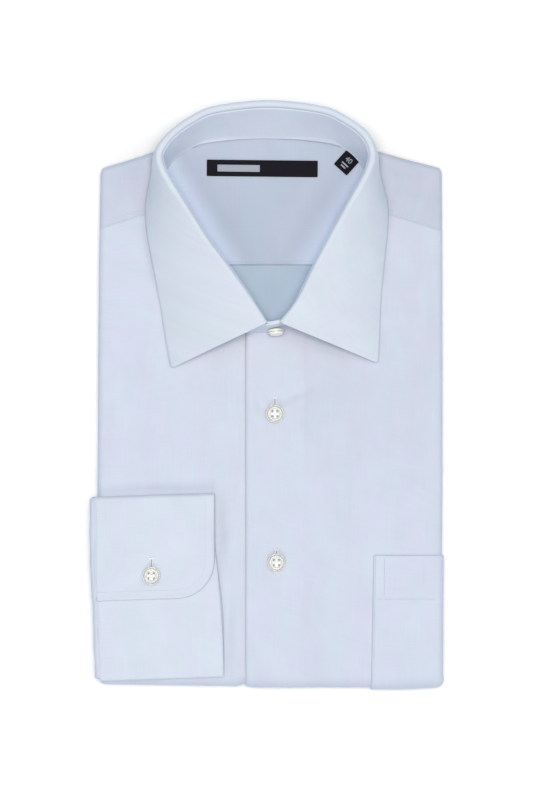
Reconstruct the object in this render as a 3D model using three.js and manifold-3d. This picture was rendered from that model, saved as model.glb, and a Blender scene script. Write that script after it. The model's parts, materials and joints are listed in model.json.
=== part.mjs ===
// A long sleeve dress shirt, folded flat with its collar standing, one cuff brought round to the front.
// Units are millimetres. +X is the wearer's left, +Y runs towards the collar and +Z is up.
// The shirt lies on its folded tail, with the origin under the middle of the packet.
import * as THREE from "three";
import { mergeVertices } from "three/addons/utils/BufferGeometryUtils.js";
import Module from "manifold-3d";

const wasm = await Module();
wasm.setup();
const { clamp, lerp, smoothstep } = THREE.MathUtils;

// Driving dimensions
const CLOTH = 1.2; // wall of one piece of shirting
const CUFF_CLOTH = 1.5; // an interlined cuff wall
const SEAM = 0.3; // gap between pieces that are sewn or lie together
const STACK = 7.8; // the folded front, back and side folds
const SLEEVES = 3.6; // the two hidden sleeves between the stack and the tail
const BOTTOM = -184.3; // the bottom fold of the packet
const TAIL_SHORT = 13; // how far the turned-up tail stops short of the top edge
const TUCK = 13; // cloth that runs in under each side fold
const ROLL = (STACK - CLOTH) / 2; // radius of the side folds, at the middle of the wall

const HEIGHT = 2 * STACK + SLEEVES;
const MID = HEIGHT / 2;
const BEND_Y = BOTTOM + MID;
const BEND_RADIUS = MID - CLOTH / 2;
const UNDER_CLOTH = CLOTH + SEAM; // one wall and its gap

const PLACKET_EDGE = -12.8;
const PLACKET_WIDTH = 34;
const UNDERLAP_EDGE = 8.4;
const CENTRE_FRONT = 5.4; // the button line, a little off the middle of the packet
const NECK_FRONT = 38.6;
const YOKE_BOTTOM = 81.25;
const NECK_AT_YOKE = 5.25; // the collar station where the front yoke seam meets the neck

const BUTTON = { radius: 5.7, thick: 2.3, holeRadius: 0.75, holeAt: 1.45 };
const FRONT_BUTTONS = [
  { name: "button_front_1", x: 5, y: -12.3 },
  { name: "button_front_2", x: 6, y: -105.2 },
];

// The side folds of the packet, read from the collar end down.
const SIDES = [
  { y: 164, left: -104, right: 109.8 },
  { y: 97, left: -105.2, right: 109.9 },
  { y: 22, left: -105.7, right: 110 },
  { y: -60, left: -106, right: 110 },
  { y: -128, left: -103.8, right: 109.3 },
  { y: -182, left: -103.6, right: 109.2 },
];

// The top edge of the packet on the wearer's left, and the collar station that each point faces.
const TOP_EDGE = [
  { x: 109.9, y: 101.8, station: NECK_AT_YOKE },
  { x: 109.9, y: 122, station: 5.75 },
  { x: 109.9, y: 139.4, station: 6.1 },
  { x: 108.3, y: 142, station: 6.3 },
  { x: 88, y: 147, station: 6.75 },
  { x: 70, y: 152.3, station: 7.4 },
  { x: 54, y: 157.3, station: 8.4 },
  { x: 37, y: 161.2, station: 9.75 },
  { x: 18, y: 163.4, station: 10.5 },
  { x: 0, y: 163.9, station: 11 },
];
const SHOULDER_X = 70; // outside this the two shoulders differ in width

// Half of the collar, from the front end to the centre back: the neck seam, the roll line and the
// leaf's free edge. Where edgeZ is null the edge lies on the garment.
const COLLAR = [
  { seamX: 5.8, seamY: 40.6, rollX: 5.6, rollY: 44.5, rollZ: 46, edgeX: 64.6, edgeY: 17.6, edgeZ: null },
  { seamX: 14, seamY: 49.5, rollX: 13.7, rollY: 58, rollZ: 46.4, edgeX: 66.4, edgeY: 33, edgeZ: null },
  { seamX: 27.3, seamY: 69.5, rollX: 27, rollY: 79.8, rollZ: 47.4, edgeX: 69.2, edgeY: 60, edgeZ: null },
  { seamX: 38.5, seamY: 86.5, rollX: 37.4, rollY: 96, rollZ: 48.3, edgeX: 71.8, edgeY: 80, edgeZ: null },
  { seamX: 49.5, seamY: 103.5, rollX: 47.3, rollY: 112.9, rollZ: 49.2, edgeX: 74.6, edgeY: 101, edgeZ: null },
  { seamX: 58.5, seamY: 115, rollX: 56.6, rollY: 128.5, rollZ: 50, edgeX: 75.1, edgeY: 118, edgeZ: null },
  { seamX: 63.8, seamY: 126, rollX: 62.4, rollY: 139.5, rollZ: 50.4, edgeX: 72.8, edgeY: 136, edgeZ: null },
  { seamX: 64.8, seamY: 136, rollX: 63.9, rollY: 149, rollZ: 50.2, edgeX: 69.4, edgeY: 149, edgeZ: null },
  { seamX: 60, seamY: 145, rollX: 58, rollY: 159, rollZ: 49.6, edgeX: 63.5, edgeY: 158.4, edgeZ: 15.5 },
  { seamX: 49.5, seamY: 153.8, rollX: 46.4, rollY: 167.6, rollZ: 49, edgeX: 51, edgeY: 168, edgeZ: 8.5 },
  { seamX: 34, seamY: 160, rollX: 32, rollY: 173.8, rollZ: 48.5, edgeX: 34.5, edgeY: 175.2, edgeZ: 5.4 },
  { seamX: 0, seamY: 160.9, rollX: 0, rollY: 177.2, rollZ: 48.2, edgeX: 0, edgeY: 178.6, edgeZ: 4.4 },
];
const STATIONS = COLLAR.length - 1;
const COLLAR_TWIST = 1.1; // the roll's left front end lies this far under the mean, and the right over it
const EDGE_LEAN = [-0.6, -1.6, -2.7, -1.5, -0.2]; // how far the free edge leans sideways at its first stations
const LEAF_ROLL = 1.7; // radius of the leaf's roll, at the middle of its wall
const BAND_UNDER_ROLL = 3.6; // the band's top edge lies this far under the roll's crest

// The band's two overlapping front ends, past the leaf: x is measured from the centre front.
const BAND_OUTER_END = [
  { seamX: -2, seamY: 39.2, rollX: -2, rollY: 42.3, rollZ: 45 },
  { seamX: -8, seamY: 38.9, rollX: -8, rollY: 42, rollZ: 43.6 },
  { seamX: -14, seamY: 38.7, rollX: -14, rollY: 40.7, rollZ: 40.6 },
];
const BAND_INNER_END = [{ seamX: -4, seamY: 42.6, rollX: -4, rollY: 45.4, rollZ: 45.4 }];

// The cuff lies buttoned and flat: its circumference runs along Y and the hand edge faces +X.
const CUFF = {
  seamX: -107.4,
  handX: -33.2,
  underHandX: -27.4,
  upperFold: -63.6,
  lowerFold: -177.6,
  tabEnd: -127.8,
  tabRadius: 19,
  underlapEnd: -96,
  layer: 1.9,
};
// Below the tab the cuff's seam and the sleeve behind it draw in towards the packet.
const drawnIn = (y) => 2 * smoothstep(-y, 104, 140) + 1.2 * smoothstep(-y, 150, 178);
// The cuff lies a little turned, so its folds rise towards the hand edge.
const cuffSlope = (x) => 0.034 * (x + 70);

// The hand edge of the rear half: 0 is under the tab's edge and 1 is at its full width.
const CUFF_REAR = [
  { y: -90, out: 0 },
  { y: -108, out: 0.22 },
  { y: -124, out: 0.68 },
  { y: -142, out: 0.95 },
  { y: -160, out: 1 },
];
const CUFF_BUTTON = { x: -72, y: -113.3 };
const SLEEVE_PLY = 0.85; // half the distance between the sleeve's two layers

const POCKET = { x: 67.1, y: -101.2, lean: 0.018, bendAngle: 2.3, wrapAngle: 2.6 };
const LABEL = { x: -2.9, y: 141.7, width: 69, height: 9.8, thick: 0.8 };
const SIZE_TAB = { x: 49.3, y: 144.2, width: 10.6, height: 11, turn: -0.72, thick: 0.8 };

// Soft forms of the top face: each row is a long ridge, or a trough where the height is negative.
const CREASES = [
  { x: -8, y: -4, turn: 2.7, length: 34, width: 7, height: 0.5 },
  { x: 22, y: -3, turn: 0.35, length: 30, width: 8, height: 0.4 },
  { x: -88, y: 128, turn: 0.45, length: 40, width: 9, height: 0.7 },
  { x: 92, y: 126, turn: -0.5, length: 38, width: 10, height: 0.6 },
  { x: -82, y: 60, turn: 1.45, length: 90, width: 14, height: 0.5 },
  { x: 84, y: 20, turn: 1.6, length: 120, width: 16, height: 0.6 },
  { x: 48, y: -60, turn: 1.5, length: 110, width: 14, height: -0.4 },
  { x: -48, y: -20, turn: 1.66, length: 80, width: 12, height: -0.5 },
];

// A column of a table, read at a value of another column, with straight lines between the rows.
function readTable(rows, by, at, column) {
  const falling = rows[0][by] > rows[rows.length - 1][by];
  const ordered = falling ? [...rows].reverse() : rows;
  let k = 0;
  while (k < ordered.length - 2 && at > ordered[k + 1][by]) k++;
  const share = clamp((at - ordered[k][by]) / (ordered[k + 1][by] - ordered[k][by]), 0, 1);
  return lerp(ordered[k][column], ordered[k + 1][column], share);
}

const sideX = (side, y) => readTable(SIDES, "y", y, side > 0 ? "right" : "left");

function topEdgePoint(side, station) {
  const x = readTable(TOP_EDGE, "station", station, "x");
  const y = readTable(TOP_EDGE, "station", station, "y");
  const widest = TOP_EDGE[0].x;
  const reach = Math.abs(sideX(side, y)) - SHOULDER_X;
  const wide = x <= SHOULDER_X ? x : SHOULDER_X + ((x - SHOULDER_X) * reach) / (widest - SHOULDER_X);
  return new THREE.Vector2(side * wide, y);
}
const topEdgeY = (x) => readTable(TOP_EDGE, "x", Math.abs(x), "y");

// How far the top face stands above or below its even height.
function relief(x, y) {
  const crown = 0.9 * (1 - (x / 112) ** 2) * smoothstep(y, -182, -120);
  const thinTop = -2.4 * smoothstep(y, 70, 150);
  const overlap = smoothstep(x, PLACKET_EDGE - 6.4, PLACKET_EDGE) * (1 - smoothstep(x, UNDERLAP_EDGE, 34));
  const placket = 0.8 * overlap * (1 - smoothstep(y, 36, 60));
  let height = crown + thinTop + placket;
  for (const crease of CREASES) {
    const cos = Math.cos(crease.turn);
    const sin = Math.sin(crease.turn);
    const along = (x - crease.x) * cos + (y - crease.y) * sin;
    const across = (y - crease.y) * cos - (x - crease.x) * sin;
    const distance = Math.hypot((2 * along) / crease.length, across / crease.width);
    height += crease.height * Math.exp(-distance * distance);
  }
  return height;
}

// Raises a point by the relief of the top face, fully at the top and not at all on the underside.
const settle = (x, y, z) => new THREE.Vector3(x, y, z + relief(x, y) * clamp((z - 2) / (HEIGHT - 2), 0, 1));

// How far the bottom fold rises from its lowest line, which is along the placket.
const bottomSkew = (x) =>
  0.5 * smoothstep(-x, 9, 13) + 1.6 * clamp(-x / 106, 0, 1) + 1.2 * smoothstep(x, 80, 112);

// A point of the side-folded stack once the tail is turned under. `down` is the distance towards the
// hem, and `rise` the height over the stack's inner face.
function foldedPoint(x, down, rise) {
  const start = -BEND_Y;
  const radius = SLEEVES / 2 + rise;
  const angle = clamp((down - start) / BEND_RADIUS, 0, Math.PI);
  const past = down - start - angle * BEND_RADIUS;
  const y = angle < Math.PI ? -start - past - radius * Math.sin(angle) : -start + past;
  return settle(x, y + bottomSkew(x) * smoothstep(-y, 150, 176), MID + radius * Math.cos(angle));
}
const topAt = (x, y) => settle(x, y, HEIGHT).z;

// The depth of the garment's inside under the neck: the back sags a little between the fronts.
function sag(x, y) {
  const across = 1 - smoothstep(Math.abs(x), 18, 62);
  return 2 * across * smoothstep(y, 30, 70) * (1 - smoothstep(y, 128, 160));
}

// A solid from a closed grid of points: each row is a ring, and the two end rings are capped.
function ringSolid(rings) {
  const count = rings[0].length;
  const index = [];
  for (let j = 0; j < rings.length - 1; j++) {
    for (let i = 0; i < count; i++) {
      const a = j * count + i;
      const b = j * count + ((i + 1) % count);
      index.push(a, b, b + count, a, b + count, a + count);
    }
  }
  const cap = (j, flip) => {
    const centre = rings.length * count + (flip ? 0 : 1);
    for (let i = 0; i < count; i++) {
      const a = j * count + i;
      const b = j * count + ((i + 1) % count);
      index.push(centre, flip ? b : a, flip ? a : b);
    }
  };
  cap(0, true);
  cap(rings.length - 1, false);
  const middle = (ring) => ring.reduce((sum, p) => sum.add(p), new THREE.Vector3()).divideScalar(count);
  return indexed([...rings.flat(), middle(rings[0]), middle(rings[rings.length - 1])], index);
}

// Builds an indexed geometry and turns its faces out if they face in.
function indexed(points, index) {
  const geometry = new THREE.BufferGeometry();
  geometry.setAttribute("position", new THREE.Float32BufferAttribute(points.flatMap((p) => p.toArray()), 3));
  let volume = 0;
  for (let i = 0; i < index.length; i += 3) {
    const [a, b, c] = [points[index[i]], points[index[i + 1]], points[index[i + 2]]];
    volume += a.dot(new THREE.Vector3().crossVectors(b, c));
  }
  if (volume < 0) for (let i = 0; i < index.length; i += 3) [index[i], index[i + 1]] = [index[i + 1], index[i]];
  geometry.setIndex(index);
  return geometry;
}

// The unit normals of a grid of points, from the differences between neighbours.
function gridNormals(rows, closed) {
  const count = rows[0].length;
  const last = rows.length - 1;
  return rows.map((row, j) =>
    row.map((_, i) => {
      const before = closed ? (i + count - 1) % count : Math.max(i - 1, 0);
      const after = closed ? (i + 1) % count : Math.min(i + 1, count - 1);
      const along = row[after].clone().sub(row[before]);
      const down = rows[Math.min(j + 1, last)][i].clone().sub(rows[Math.max(j - 1, 0)][i]);
      return along.cross(down).normalize();
    }),
  );
}

// The cloth surface moved along its normals.
function moved(rows, distance, closed = false) {
  const normals = gridNormals(rows, closed);
  return rows.map((row, j) => row.map((p, i) => p.clone().addScaledVector(normals[j][i], distance)));
}

// A cloth wall: the grid of the wall's middle, given a thickness and closed all round.
function clothWall(rows, thickness, closed = false) {
  const front = moved(rows, thickness / 2, closed);
  const back = moved(rows, -thickness / 2, closed);
  for (const p of [...front.flat(), ...back.flat()]) p.z = Math.max(p.z, 0);
  const count = rows[0].length;
  const last = rows.length - 1;
  const points = [...front.flat(), ...back.flat()];
  const half = rows.length * count;
  const index = [];
  const quad = (a, b, c, d) => index.push(a, b, c, a, c, d);
  const spans = closed ? count : count - 1;
  for (let j = 0; j < last; j++) {
    for (let i = 0; i < spans; i++) {
      const a = j * count + i;
      const b = j * count + ((i + 1) % count);
      quad(a, b, b + count, a + count);
      quad(half + a, half + a + count, half + b + count, half + b);
    }
    if (!closed) {
      const right = j * count + count - 1;
      quad(j * count, (j + 1) * count, half + (j + 1) * count, half + j * count);
      quad(right, half + right, half + right + count, right + count);
    }
  }
  for (let i = 0; i < spans; i++) {
    const next = (i + 1) % count;
    quad(i, half + i, half + next, next);
    quad(last * count + i, last * count + next, half + last * count + next, half + last * count + i);
  }
  return indexed(points, index);
}

function toManifold(geometry) {
  const bare = geometry.clone();
  bare.deleteAttribute("normal");
  bare.deleteAttribute("uv");
  const merged = mergeVertices(bare, 1e-4);
  const vertProperties = merged.attributes.position.array;
  return new wasm.Manifold(new wasm.Mesh({ numProp: 3, vertProperties, triVerts: new Uint32Array(merged.index.array) }));
}

function fromManifold(solid) {
  const mesh = solid.getMesh();
  const geometry = new THREE.BufferGeometry();
  geometry.setAttribute("position", new THREE.Float32BufferAttribute(mesh.vertProperties, 3));
  geometry.setIndex(Array.from(mesh.triVerts));
  return geometry;
}

// The collar's three lines through their stations. Station 0 is the front end on that side.
function drift(y) {
  const atNeck = CENTRE_FRONT * (1 - smoothstep(y, 46, 112));
  return atNeck - 0.8 * smoothstep(y, 112, 140) * (1 - smoothstep(y, 146, 156)) + 0.9 * smoothstep(y, 150, 162);
}
const tilt = (x, y) => 0.024 * x * (1 - smoothstep(y, 20, 110));

function collarLine(kind) {
  const point = (row, side) => {
    const x = side * row[kind + "X"];
    const y = row[kind + "Y"] + tilt(x, row[kind + "Y"]);
    const lean = kind === "edge" ? (EDGE_LEAN[COLLAR.indexOf(row)] ?? 0) : 0;
    const px = x + drift(y) + lean;
    const onGarment = topAt(px, y) + SEAM + CLOTH / 2 + 0.15;
    const heights = { seam: topAt(px, y) + SEAM, roll: row.rollZ, edge: row.edgeZ ?? onGarment };
    const twist = kind === "roll" && row === COLLAR[0] ? side * COLLAR_TWIST : 0;
    return new THREE.Vector3(px, y - twist, heights[kind]);
  };
  const right = COLLAR.map((row) => point(row, -1));
  const left = COLLAR.slice(0, -1).reverse().map((row) => point(row, 1));
  return new THREE.CatmullRomCurve3([...right, ...left], false, "catmullrom", 0.5);
}
const SEAM_LINE = collarLine("seam");
const ROLL_LINE = collarLine("roll");
const EDGE_LINE = collarLine("edge");
// side is -1 for the wearer's right and 1 for the left.
const collarAt = (line, side, station) => line.getPoint(side < 0 ? station / (2 * STATIONS) : 1 - station / (2 * STATIONS));

function outward(line, t) {
  const tangent = line.getTangent(t);
  return new THREE.Vector3(-tangent.y, tangent.x, 0).normalize();
}

// The neck edge of a piece, a little inside the seam so that the band stands on it.
function neckEdge(side, station) {
  const t = side < 0 ? station / (2 * STATIONS) : 1 - station / (2 * STATIONS);
  const p = SEAM_LINE.getPoint(t);
  return p.addScaledVector(outward(SEAM_LINE, t), -0.9);
}

// One row of a front: flat from its inner edge to the side, round the side fold and in under it.
const FRONT_COLUMNS = [0, 0.09, 0.198, 0.258, 0.36, 0.5, 0.66, 0.84];
const YOKE_COLUMNS = [0, 0.25, 0.5, 0.75];
const ARC_STEPS = 6;
function sideFoldRow(side, inner, edge, columns = FRONT_COLUMNS) {
  const centre = edge - side * (ROLL + CLOTH / 2);
  const row = [];
  for (const share of columns) row.push({ x: lerp(inner, centre, share), rise: STACK - CLOTH / 2 });
  for (let i = 0; i <= ARC_STEPS; i++) {
    const angle = (i * Math.PI) / ARC_STEPS;
    row.push({ x: centre + side * ROLL * Math.sin(angle), rise: STACK / 2 + ROLL * Math.cos(angle) });
  }
  row.push({ x: centre - side * TUCK, rise: CLOTH / 2 });
  return row;
}

// The distances down a front at which its rows lie, below the neck.
const BODY_ROWS = [22, 2, -18, -40, -62, -84, -101, -120, -140, -158, BEND_Y];
const BEND_STEPS = 7;
const CORNER_FLARE = 1.8; // the bottom fold is this much wider at the right front's corner
const TAIL_YS = [-128, -60, 30];
const TAIL_END = topEdgeY(SHOULDER_X) - TAIL_SHORT;
const YOKE_SLOPE = 0.32; // how steeply the front yoke seam falls to the side

function frontRows(side) {
  const rows = [];
  const neckSteps = 7;
  const underlap = side < 0;
  const row = (y, inner, slope, edgeY = y, flare = 0) => {
    const edge = sideX(side, edgeY) + side * flare;
    const points = sideFoldRow(side, inner, edge).map(({ x, rise }) => {
      const tuckedUnder = underlap ? UNDER_CLOTH * smoothstep(x, PLACKET_EDGE - 6.9, PLACKET_EDGE - 1) : 0;
      const fall = slope * Math.min(Math.abs(x - inner), Math.abs(edge - inner));
      return foldedPoint(x, -(y - fall), rise - tuckedUnder);
    });
    rows.push(points);
  };
  for (let j = 0; j <= neckSteps; j++) {
    const share = j / neckSteps;
    const neck = neckEdge(side, NECK_AT_YOKE * (1 - share));
    const seamGap = j ? 0 : SEAM / 2;
    row(neck.y - seamGap, neck.x, YOKE_SLOPE * (1 - share) ** 1.2);
  }
  const inner = underlap ? UNDERLAP_EDGE : PLACKET_EDGE;
  row(NECK_FRONT, inner, 0);
  for (const y of BODY_ROWS) row(y, inner, 0);
  const bend = Math.PI * BEND_RADIUS;
  for (let j = 1; j <= BEND_STEPS; j++) {
    const share = j / BEND_STEPS;
    const flare = underlap ? CORNER_FLARE * Math.sin(Math.PI * share) ** 2 : 0;
    row(BEND_Y - bend * share, inner, 0, BEND_Y, flare);
  }
  for (const y of [...TAIL_YS, TAIL_END]) row(2 * BEND_Y - bend - y, inner, 0, y);
  return rows;
}

// The outer yoke: a fan from the neck seam to the top edge of the packet, rolled over that edge.
function outerYoke() {
  const rows = [];
  const stations = TOP_EDGE.map((row) => row.station);
  const between = stations.flatMap((s, k) => (k ? [(s + stations[k - 1]) / 2, s] : [s]));
  const columns = [...between.map((s) => [-1, s]), ...between.slice(0, -1).reverse().map((s) => [1, s])];
  const edge = columns.map(([side, station]) => topEdgePoint(side, station));
  columns.forEach(([side, station], k) => {
    const neighbours = [edge[Math.max(k - 1, 0)], edge[Math.min(k + 1, edge.length - 1)]];
    const along = neighbours[1].clone().sub(neighbours[0]).normalize();
    const out = new THREE.Vector2(-along.y, along.x);
    const neck = neckEdge(side, station);
    if (station === NECK_AT_YOKE) {
      const seam = sideFoldRow(side, neck.x, edge[k].x, YOKE_COLUMNS).slice(0, -1);
      const onSeam = (x) => neck.y + SEAM / 2 - YOKE_SLOPE * Math.abs(x - neck.x);
      rows.push(seam.map(({ x, rise }) => foldedPoint(x, -onSeam(x), rise)));
      return;
    }
    const centre = edge[k].clone().addScaledVector(out, -(ROLL + CLOTH / 2));
    const row = [];
    for (const share of YOKE_COLUMNS) {
      row.push(foldedPoint(lerp(neck.x, centre.x, share), -lerp(neck.y, centre.y, share), STACK - CLOTH / 2));
    }
    for (let i = 0; i <= ARC_STEPS; i++) {
      const angle = (i * Math.PI) / ARC_STEPS;
      const reach = ROLL * Math.sin(angle);
      const rise = STACK / 2 + ROLL * Math.cos(angle);
      row.push(foldedPoint(centre.x + out.x * reach, -(centre.y + out.y * reach), rise));
    }
    rows.push(row);
  });
  return rows;
}

// A sheet of the inside of the back, seen through the neck, between two heights down the garment.
function insideSheet(left, right, top, bottom, depth) {
  const rows = [];
  const columns = 12;
  const steps = Math.max(4, Math.round((top(0) - bottom) / 11));
  for (let j = 0; j <= steps; j++) {
    const row = [];
    for (let i = 0; i <= columns; i++) {
      const x = lerp(left, right, i / columns);
      const y = lerp(top(x), bottom, j / steps);
      row.push(foldedPoint(x, -y, STACK - UNDER_CLOTH - depth - CLOTH / 2 - sag(x, y)));
    }
    rows.push(row);
  }
  return rows;
}
const YOKE_INSIDE_X = 66;
const insideYoke = () => insideSheet(-YOKE_INSIDE_X, YOKE_INSIDE_X, (x) => topEdgeY(x) - 3.8, YOKE_BOTTOM, 0);
const insideBack = () => insideSheet(-42, 46, () => YOKE_BOTTOM + 7, 32, UNDER_CLOTH);

// The hidden layers: a bar that follows the stack round the bottom fold, with the sleeves inside it.
const inBand = (value, low, high, soft) => smoothstep(value, low - soft, low) * (1 - smoothstep(value, high, high + soft));
function coreTop(x, y, onTop) {
  const groove = UNDER_CLOTH * inBand(x, -18, 11, 7);
  const yoke = onTop ? UNDER_CLOTH * inBand(x, -72, 72, 10) * smoothstep(y, 14, 26) : 0;
  const back = onTop ? UNDER_CLOTH * inBand(x, -50, 54, 10) * inBand(y, 26, 92, 10) : 0;
  const drop = Math.max(groove, yoke + back + (onTop ? sag(x, y) : 0));
  return STACK - UNDER_CLOTH - 0.1 - drop;
}

const CORE_COLUMNS = [-76, -58, -44, -30, -19, -12, 0, 10, 19, 32, 46, 60, 78];
function coreRing(y, down, onTop, edgeY) {
  const rounding = STACK / 2 - UNDER_CLOTH;
  const ring = [];
  const end = (side) => sideX(side, clamp(edgeY, BOTTOM, 164)) - side * (ROLL + CLOTH / 2);
  const arc = (side, from, to) => {
    for (let i = 0; i <= 4; i++) {
      const angle = lerp(from, to, i / 4);
      ring.push([end(side) + side * rounding * Math.cos(angle), STACK / 2 + rounding * Math.sin(angle)]);
    }
  };
  for (const x of CORE_COLUMNS) ring.push([x, coreTop(x, y, onTop)]);
  arc(1, Math.PI / 2, -Math.PI / 2);
  ring.push([end(1) - 17, UNDER_CLOTH]);
  ring.push([end(1) - 21, -0.5], [end(-1) + 21, -0.5], [end(-1) + 17, UNDER_CLOTH]);
  arc(-1, -Math.PI / 2, -1.5 * Math.PI);
  return ring.map(([x, rise]) => {
    const inset = Math.max(0, y + 7.5 - topEdgeY(x));
    return foldedPoint(x, onTop ? down + inset : down, rise);
  });
}

function hiddenStack() {
  const rings = [];
  const topRows = [160, 154, 148, 141, 132, 120, 108, 96, 88, 80, 70, 58, 44, 34, 26, 16];
  const ys = [...topRows, ...BODY_ROWS.slice(1)];
  for (const y of ys) rings.push(coreRing(y, -y, true, Math.min(y, 138)));
  const bend = Math.PI * BEND_RADIUS;
  for (let j = 1; j <= BEND_STEPS; j++) rings.push(coreRing(BEND_Y, -BEND_Y + (bend * j) / BEND_STEPS, false, BEND_Y));
  for (const y of [...TAIL_YS, TAIL_END - 11]) rings.push(coreRing(y, -BEND_Y + bend + y - BEND_Y, false, y));
  return ringSolid(rings);
}

// The two sleeves, folded flat between the stack and the tail, their edges showing at the sides.
function hiddenSleeves() {
  const half = SLEEVES / 2 - SEAM;
  const rings = [];
  for (const y of [150, 140, 120, 60, 0, -52, -58, -120, -166]) {
    const sleeveOut = y <= -58;
    const right = sideX(1, y) - (y > 140 ? 12 : 1.6);
    const left = sideX(-1, y) + (sleeveOut ? 11 : y > 140 ? 12 : 1.4);
    const layers = [];
    for (const side of [1, -1]) {
      const x = side > 0 ? right : left;
      const lobe = [
        [0, 1], [0.5, 0.86], [0.8, 0.5], [0.5, 0.12], [-0.9, 0], [0.1, -0.12], [0.4, -0.5], [0.1, -0.86], [-0.6, -1],
      ];
      const edge = lobe.map(([out, up]) => [x + side * out, up * half]);
      layers.push(...(side > 0 ? edge : edge.reverse()));
    }
    rings.push(layers.map(([x, z]) => settle(x, Math.min(y, topEdgeY(x) - 4), MID + z)));
  }
  return ringSolid(rings);
}

// The collar band: a standing wall from the neck seam to just under the roll.
function bandRows() {
  const steps = 46;
  const lineUp = (kind, line) => {
    const end = (row, side) => {
      const x = side * row[kind + "X"] + CENTRE_FRONT;
      const z = kind === "seam" ? topAt(x, row.seamY) + SEAM + 0.1 : row.rollZ;
      return new THREE.Vector3(x, row[kind + "Y"], z);
    };
    const middle = [];
    for (let k = 0; k <= steps; k++) middle.push(line.getPoint(k / steps));
    const inner = BAND_INNER_END.map((row) => end(row, -1)).reverse();
    return [...inner, ...middle, ...BAND_OUTER_END.map((row) => end(row, 1))];
  };
  const low = lineUp("seam", SEAM_LINE);
  const high = lineUp("roll", ROLL_LINE).map((p) => p.setZ(p.z - BAND_UNDER_ROLL));
  const rows = [];
  for (const share of [0, 0.35, 0.7, 1]) rows.push(low.map((p, i) => p.clone().lerp(high[i], share)));
  return rows;
}

// The collar leaf: out of the band's top edge, over the roll, and down to its free edge.
function leafRows() {
  const steps = 46;
  const rollSteps = 4;
  const fallSteps = 5;
  const rows = Array.from({ length: rollSteps + fallSteps + 2 }, () => []);
  for (let k = 0; k <= steps; k++) {
    const t = k / steps;
    const crest = ROLL_LINE.getPoint(t);
    const edge = EDGE_LINE.getPoint(t);
    const out = outward(ROLL_LINE, t);
    const centre = crest.clone().addScaledVector(out, LEAF_ROLL).setZ(crest.z - LEAF_ROLL - CLOTH / 2);
    rows[0].push(centre.clone().addScaledVector(out, -LEAF_ROLL).setZ(crest.z - BAND_UNDER_ROLL + 0.6));
    const spread = clamp(crest.distanceTo(edge) / 62, 0.55, 1);
    const turn = lerp(Math.PI, 0.66 * Math.PI, smoothstep(spread, 0.7, 1));
    for (let i = 0; i <= rollSteps; i++) {
      const angle = Math.PI - (turn * i) / rollSteps;
      const p = centre.clone().addScaledVector(out, LEAF_ROLL * Math.cos(angle));
      rows[i + 1].push(p.setZ(centre.z + LEAF_ROLL * Math.sin(angle)));
    }
    const start = rows[rollSteps + 1][k];
    const leave = out.clone().multiplyScalar(Math.cos(turn - Math.PI / 2)).setZ(-Math.sin(turn - Math.PI / 2));
    const reach = start.distanceTo(edge);
    const flare = edge.z > 16.5 ? 0.3 : 0.05;
    const arrive = new THREE.Vector3(out.x, out.y, 0).multiplyScalar(flare * reach).setZ(-0.12 * reach);
    const curve = new THREE.CubicBezierCurve3(
      start,
      start.clone().addScaledVector(leave, 0.36 * reach),
      edge.clone().sub(arrive),
      edge,
    );
    for (let i = 1; i <= fallSteps; i++) rows[rollSteps + 1 + i].push(curve.getPoint(i / fallSteps));
  }
  return rows;
}

// The cuff as a flat spiral: tab, upper fold, rear half, lower fold and the underlap.
function cuffRows() {
  const { upperFold, lowerFold, tabEnd, tabRadius, underlapEnd, handX, underHandX, layer } = CUFF;
  const path = [];
  const add = (y, level, hand) => path.push({ y, level, hand });
  const turn = (centreY, radius, from, to, hand) => {
    for (let i = 0; i <= 4; i++) {
      const angle = lerp(from, to, i / 4);
      add(centreY + radius * Math.cos(angle), radius + radius * Math.sin(angle), hand);
    }
  };
  for (const y of [0, 0.9, 2.8, 6.3, 11.5, 19, 34, 52]) {
    const corner = Math.max(tabRadius - y, 0);
    const cut = tabRadius - Math.sqrt(tabRadius ** 2 - corner ** 2);
    add(tabEnd + y, 2 * layer, handX - cut);
  }
  turn(upperFold - layer, layer, Math.PI / 2, -Math.PI / 2, handX);
  for (const { y, out } of CUFF_REAR) add(y, 0, lerp(handX, underHandX, out));
  turn(lowerFold + layer / 2, layer / 2, -Math.PI / 2, -1.5 * Math.PI, underHandX);
  for (const share of [0.3, 0.65, 1]) {
    add(lerp(lowerFold, underlapEnd, share), layer, lerp(underHandX, handX, share ** 2));
  }
  return path.map(({ y, level, hand }) => {
    const row = [];
    for (let i = 0; i <= 7; i++) {
      const x = lerp(hand, CUFF.seamX + drawnIn(y), i / 7);
      const overEdge = 0.3 * smoothstep(-x, 100, 108);
      const slopedY = y + cuffSlope(x);
      const under = topAt(Math.max(x, -98), slopedY) + SEAM + CUFF_CLOTH / 2;
      row.push(new THREE.Vector3(x, slopedY, under + level - overEdge));
    }
    return row;
  });
}

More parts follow.
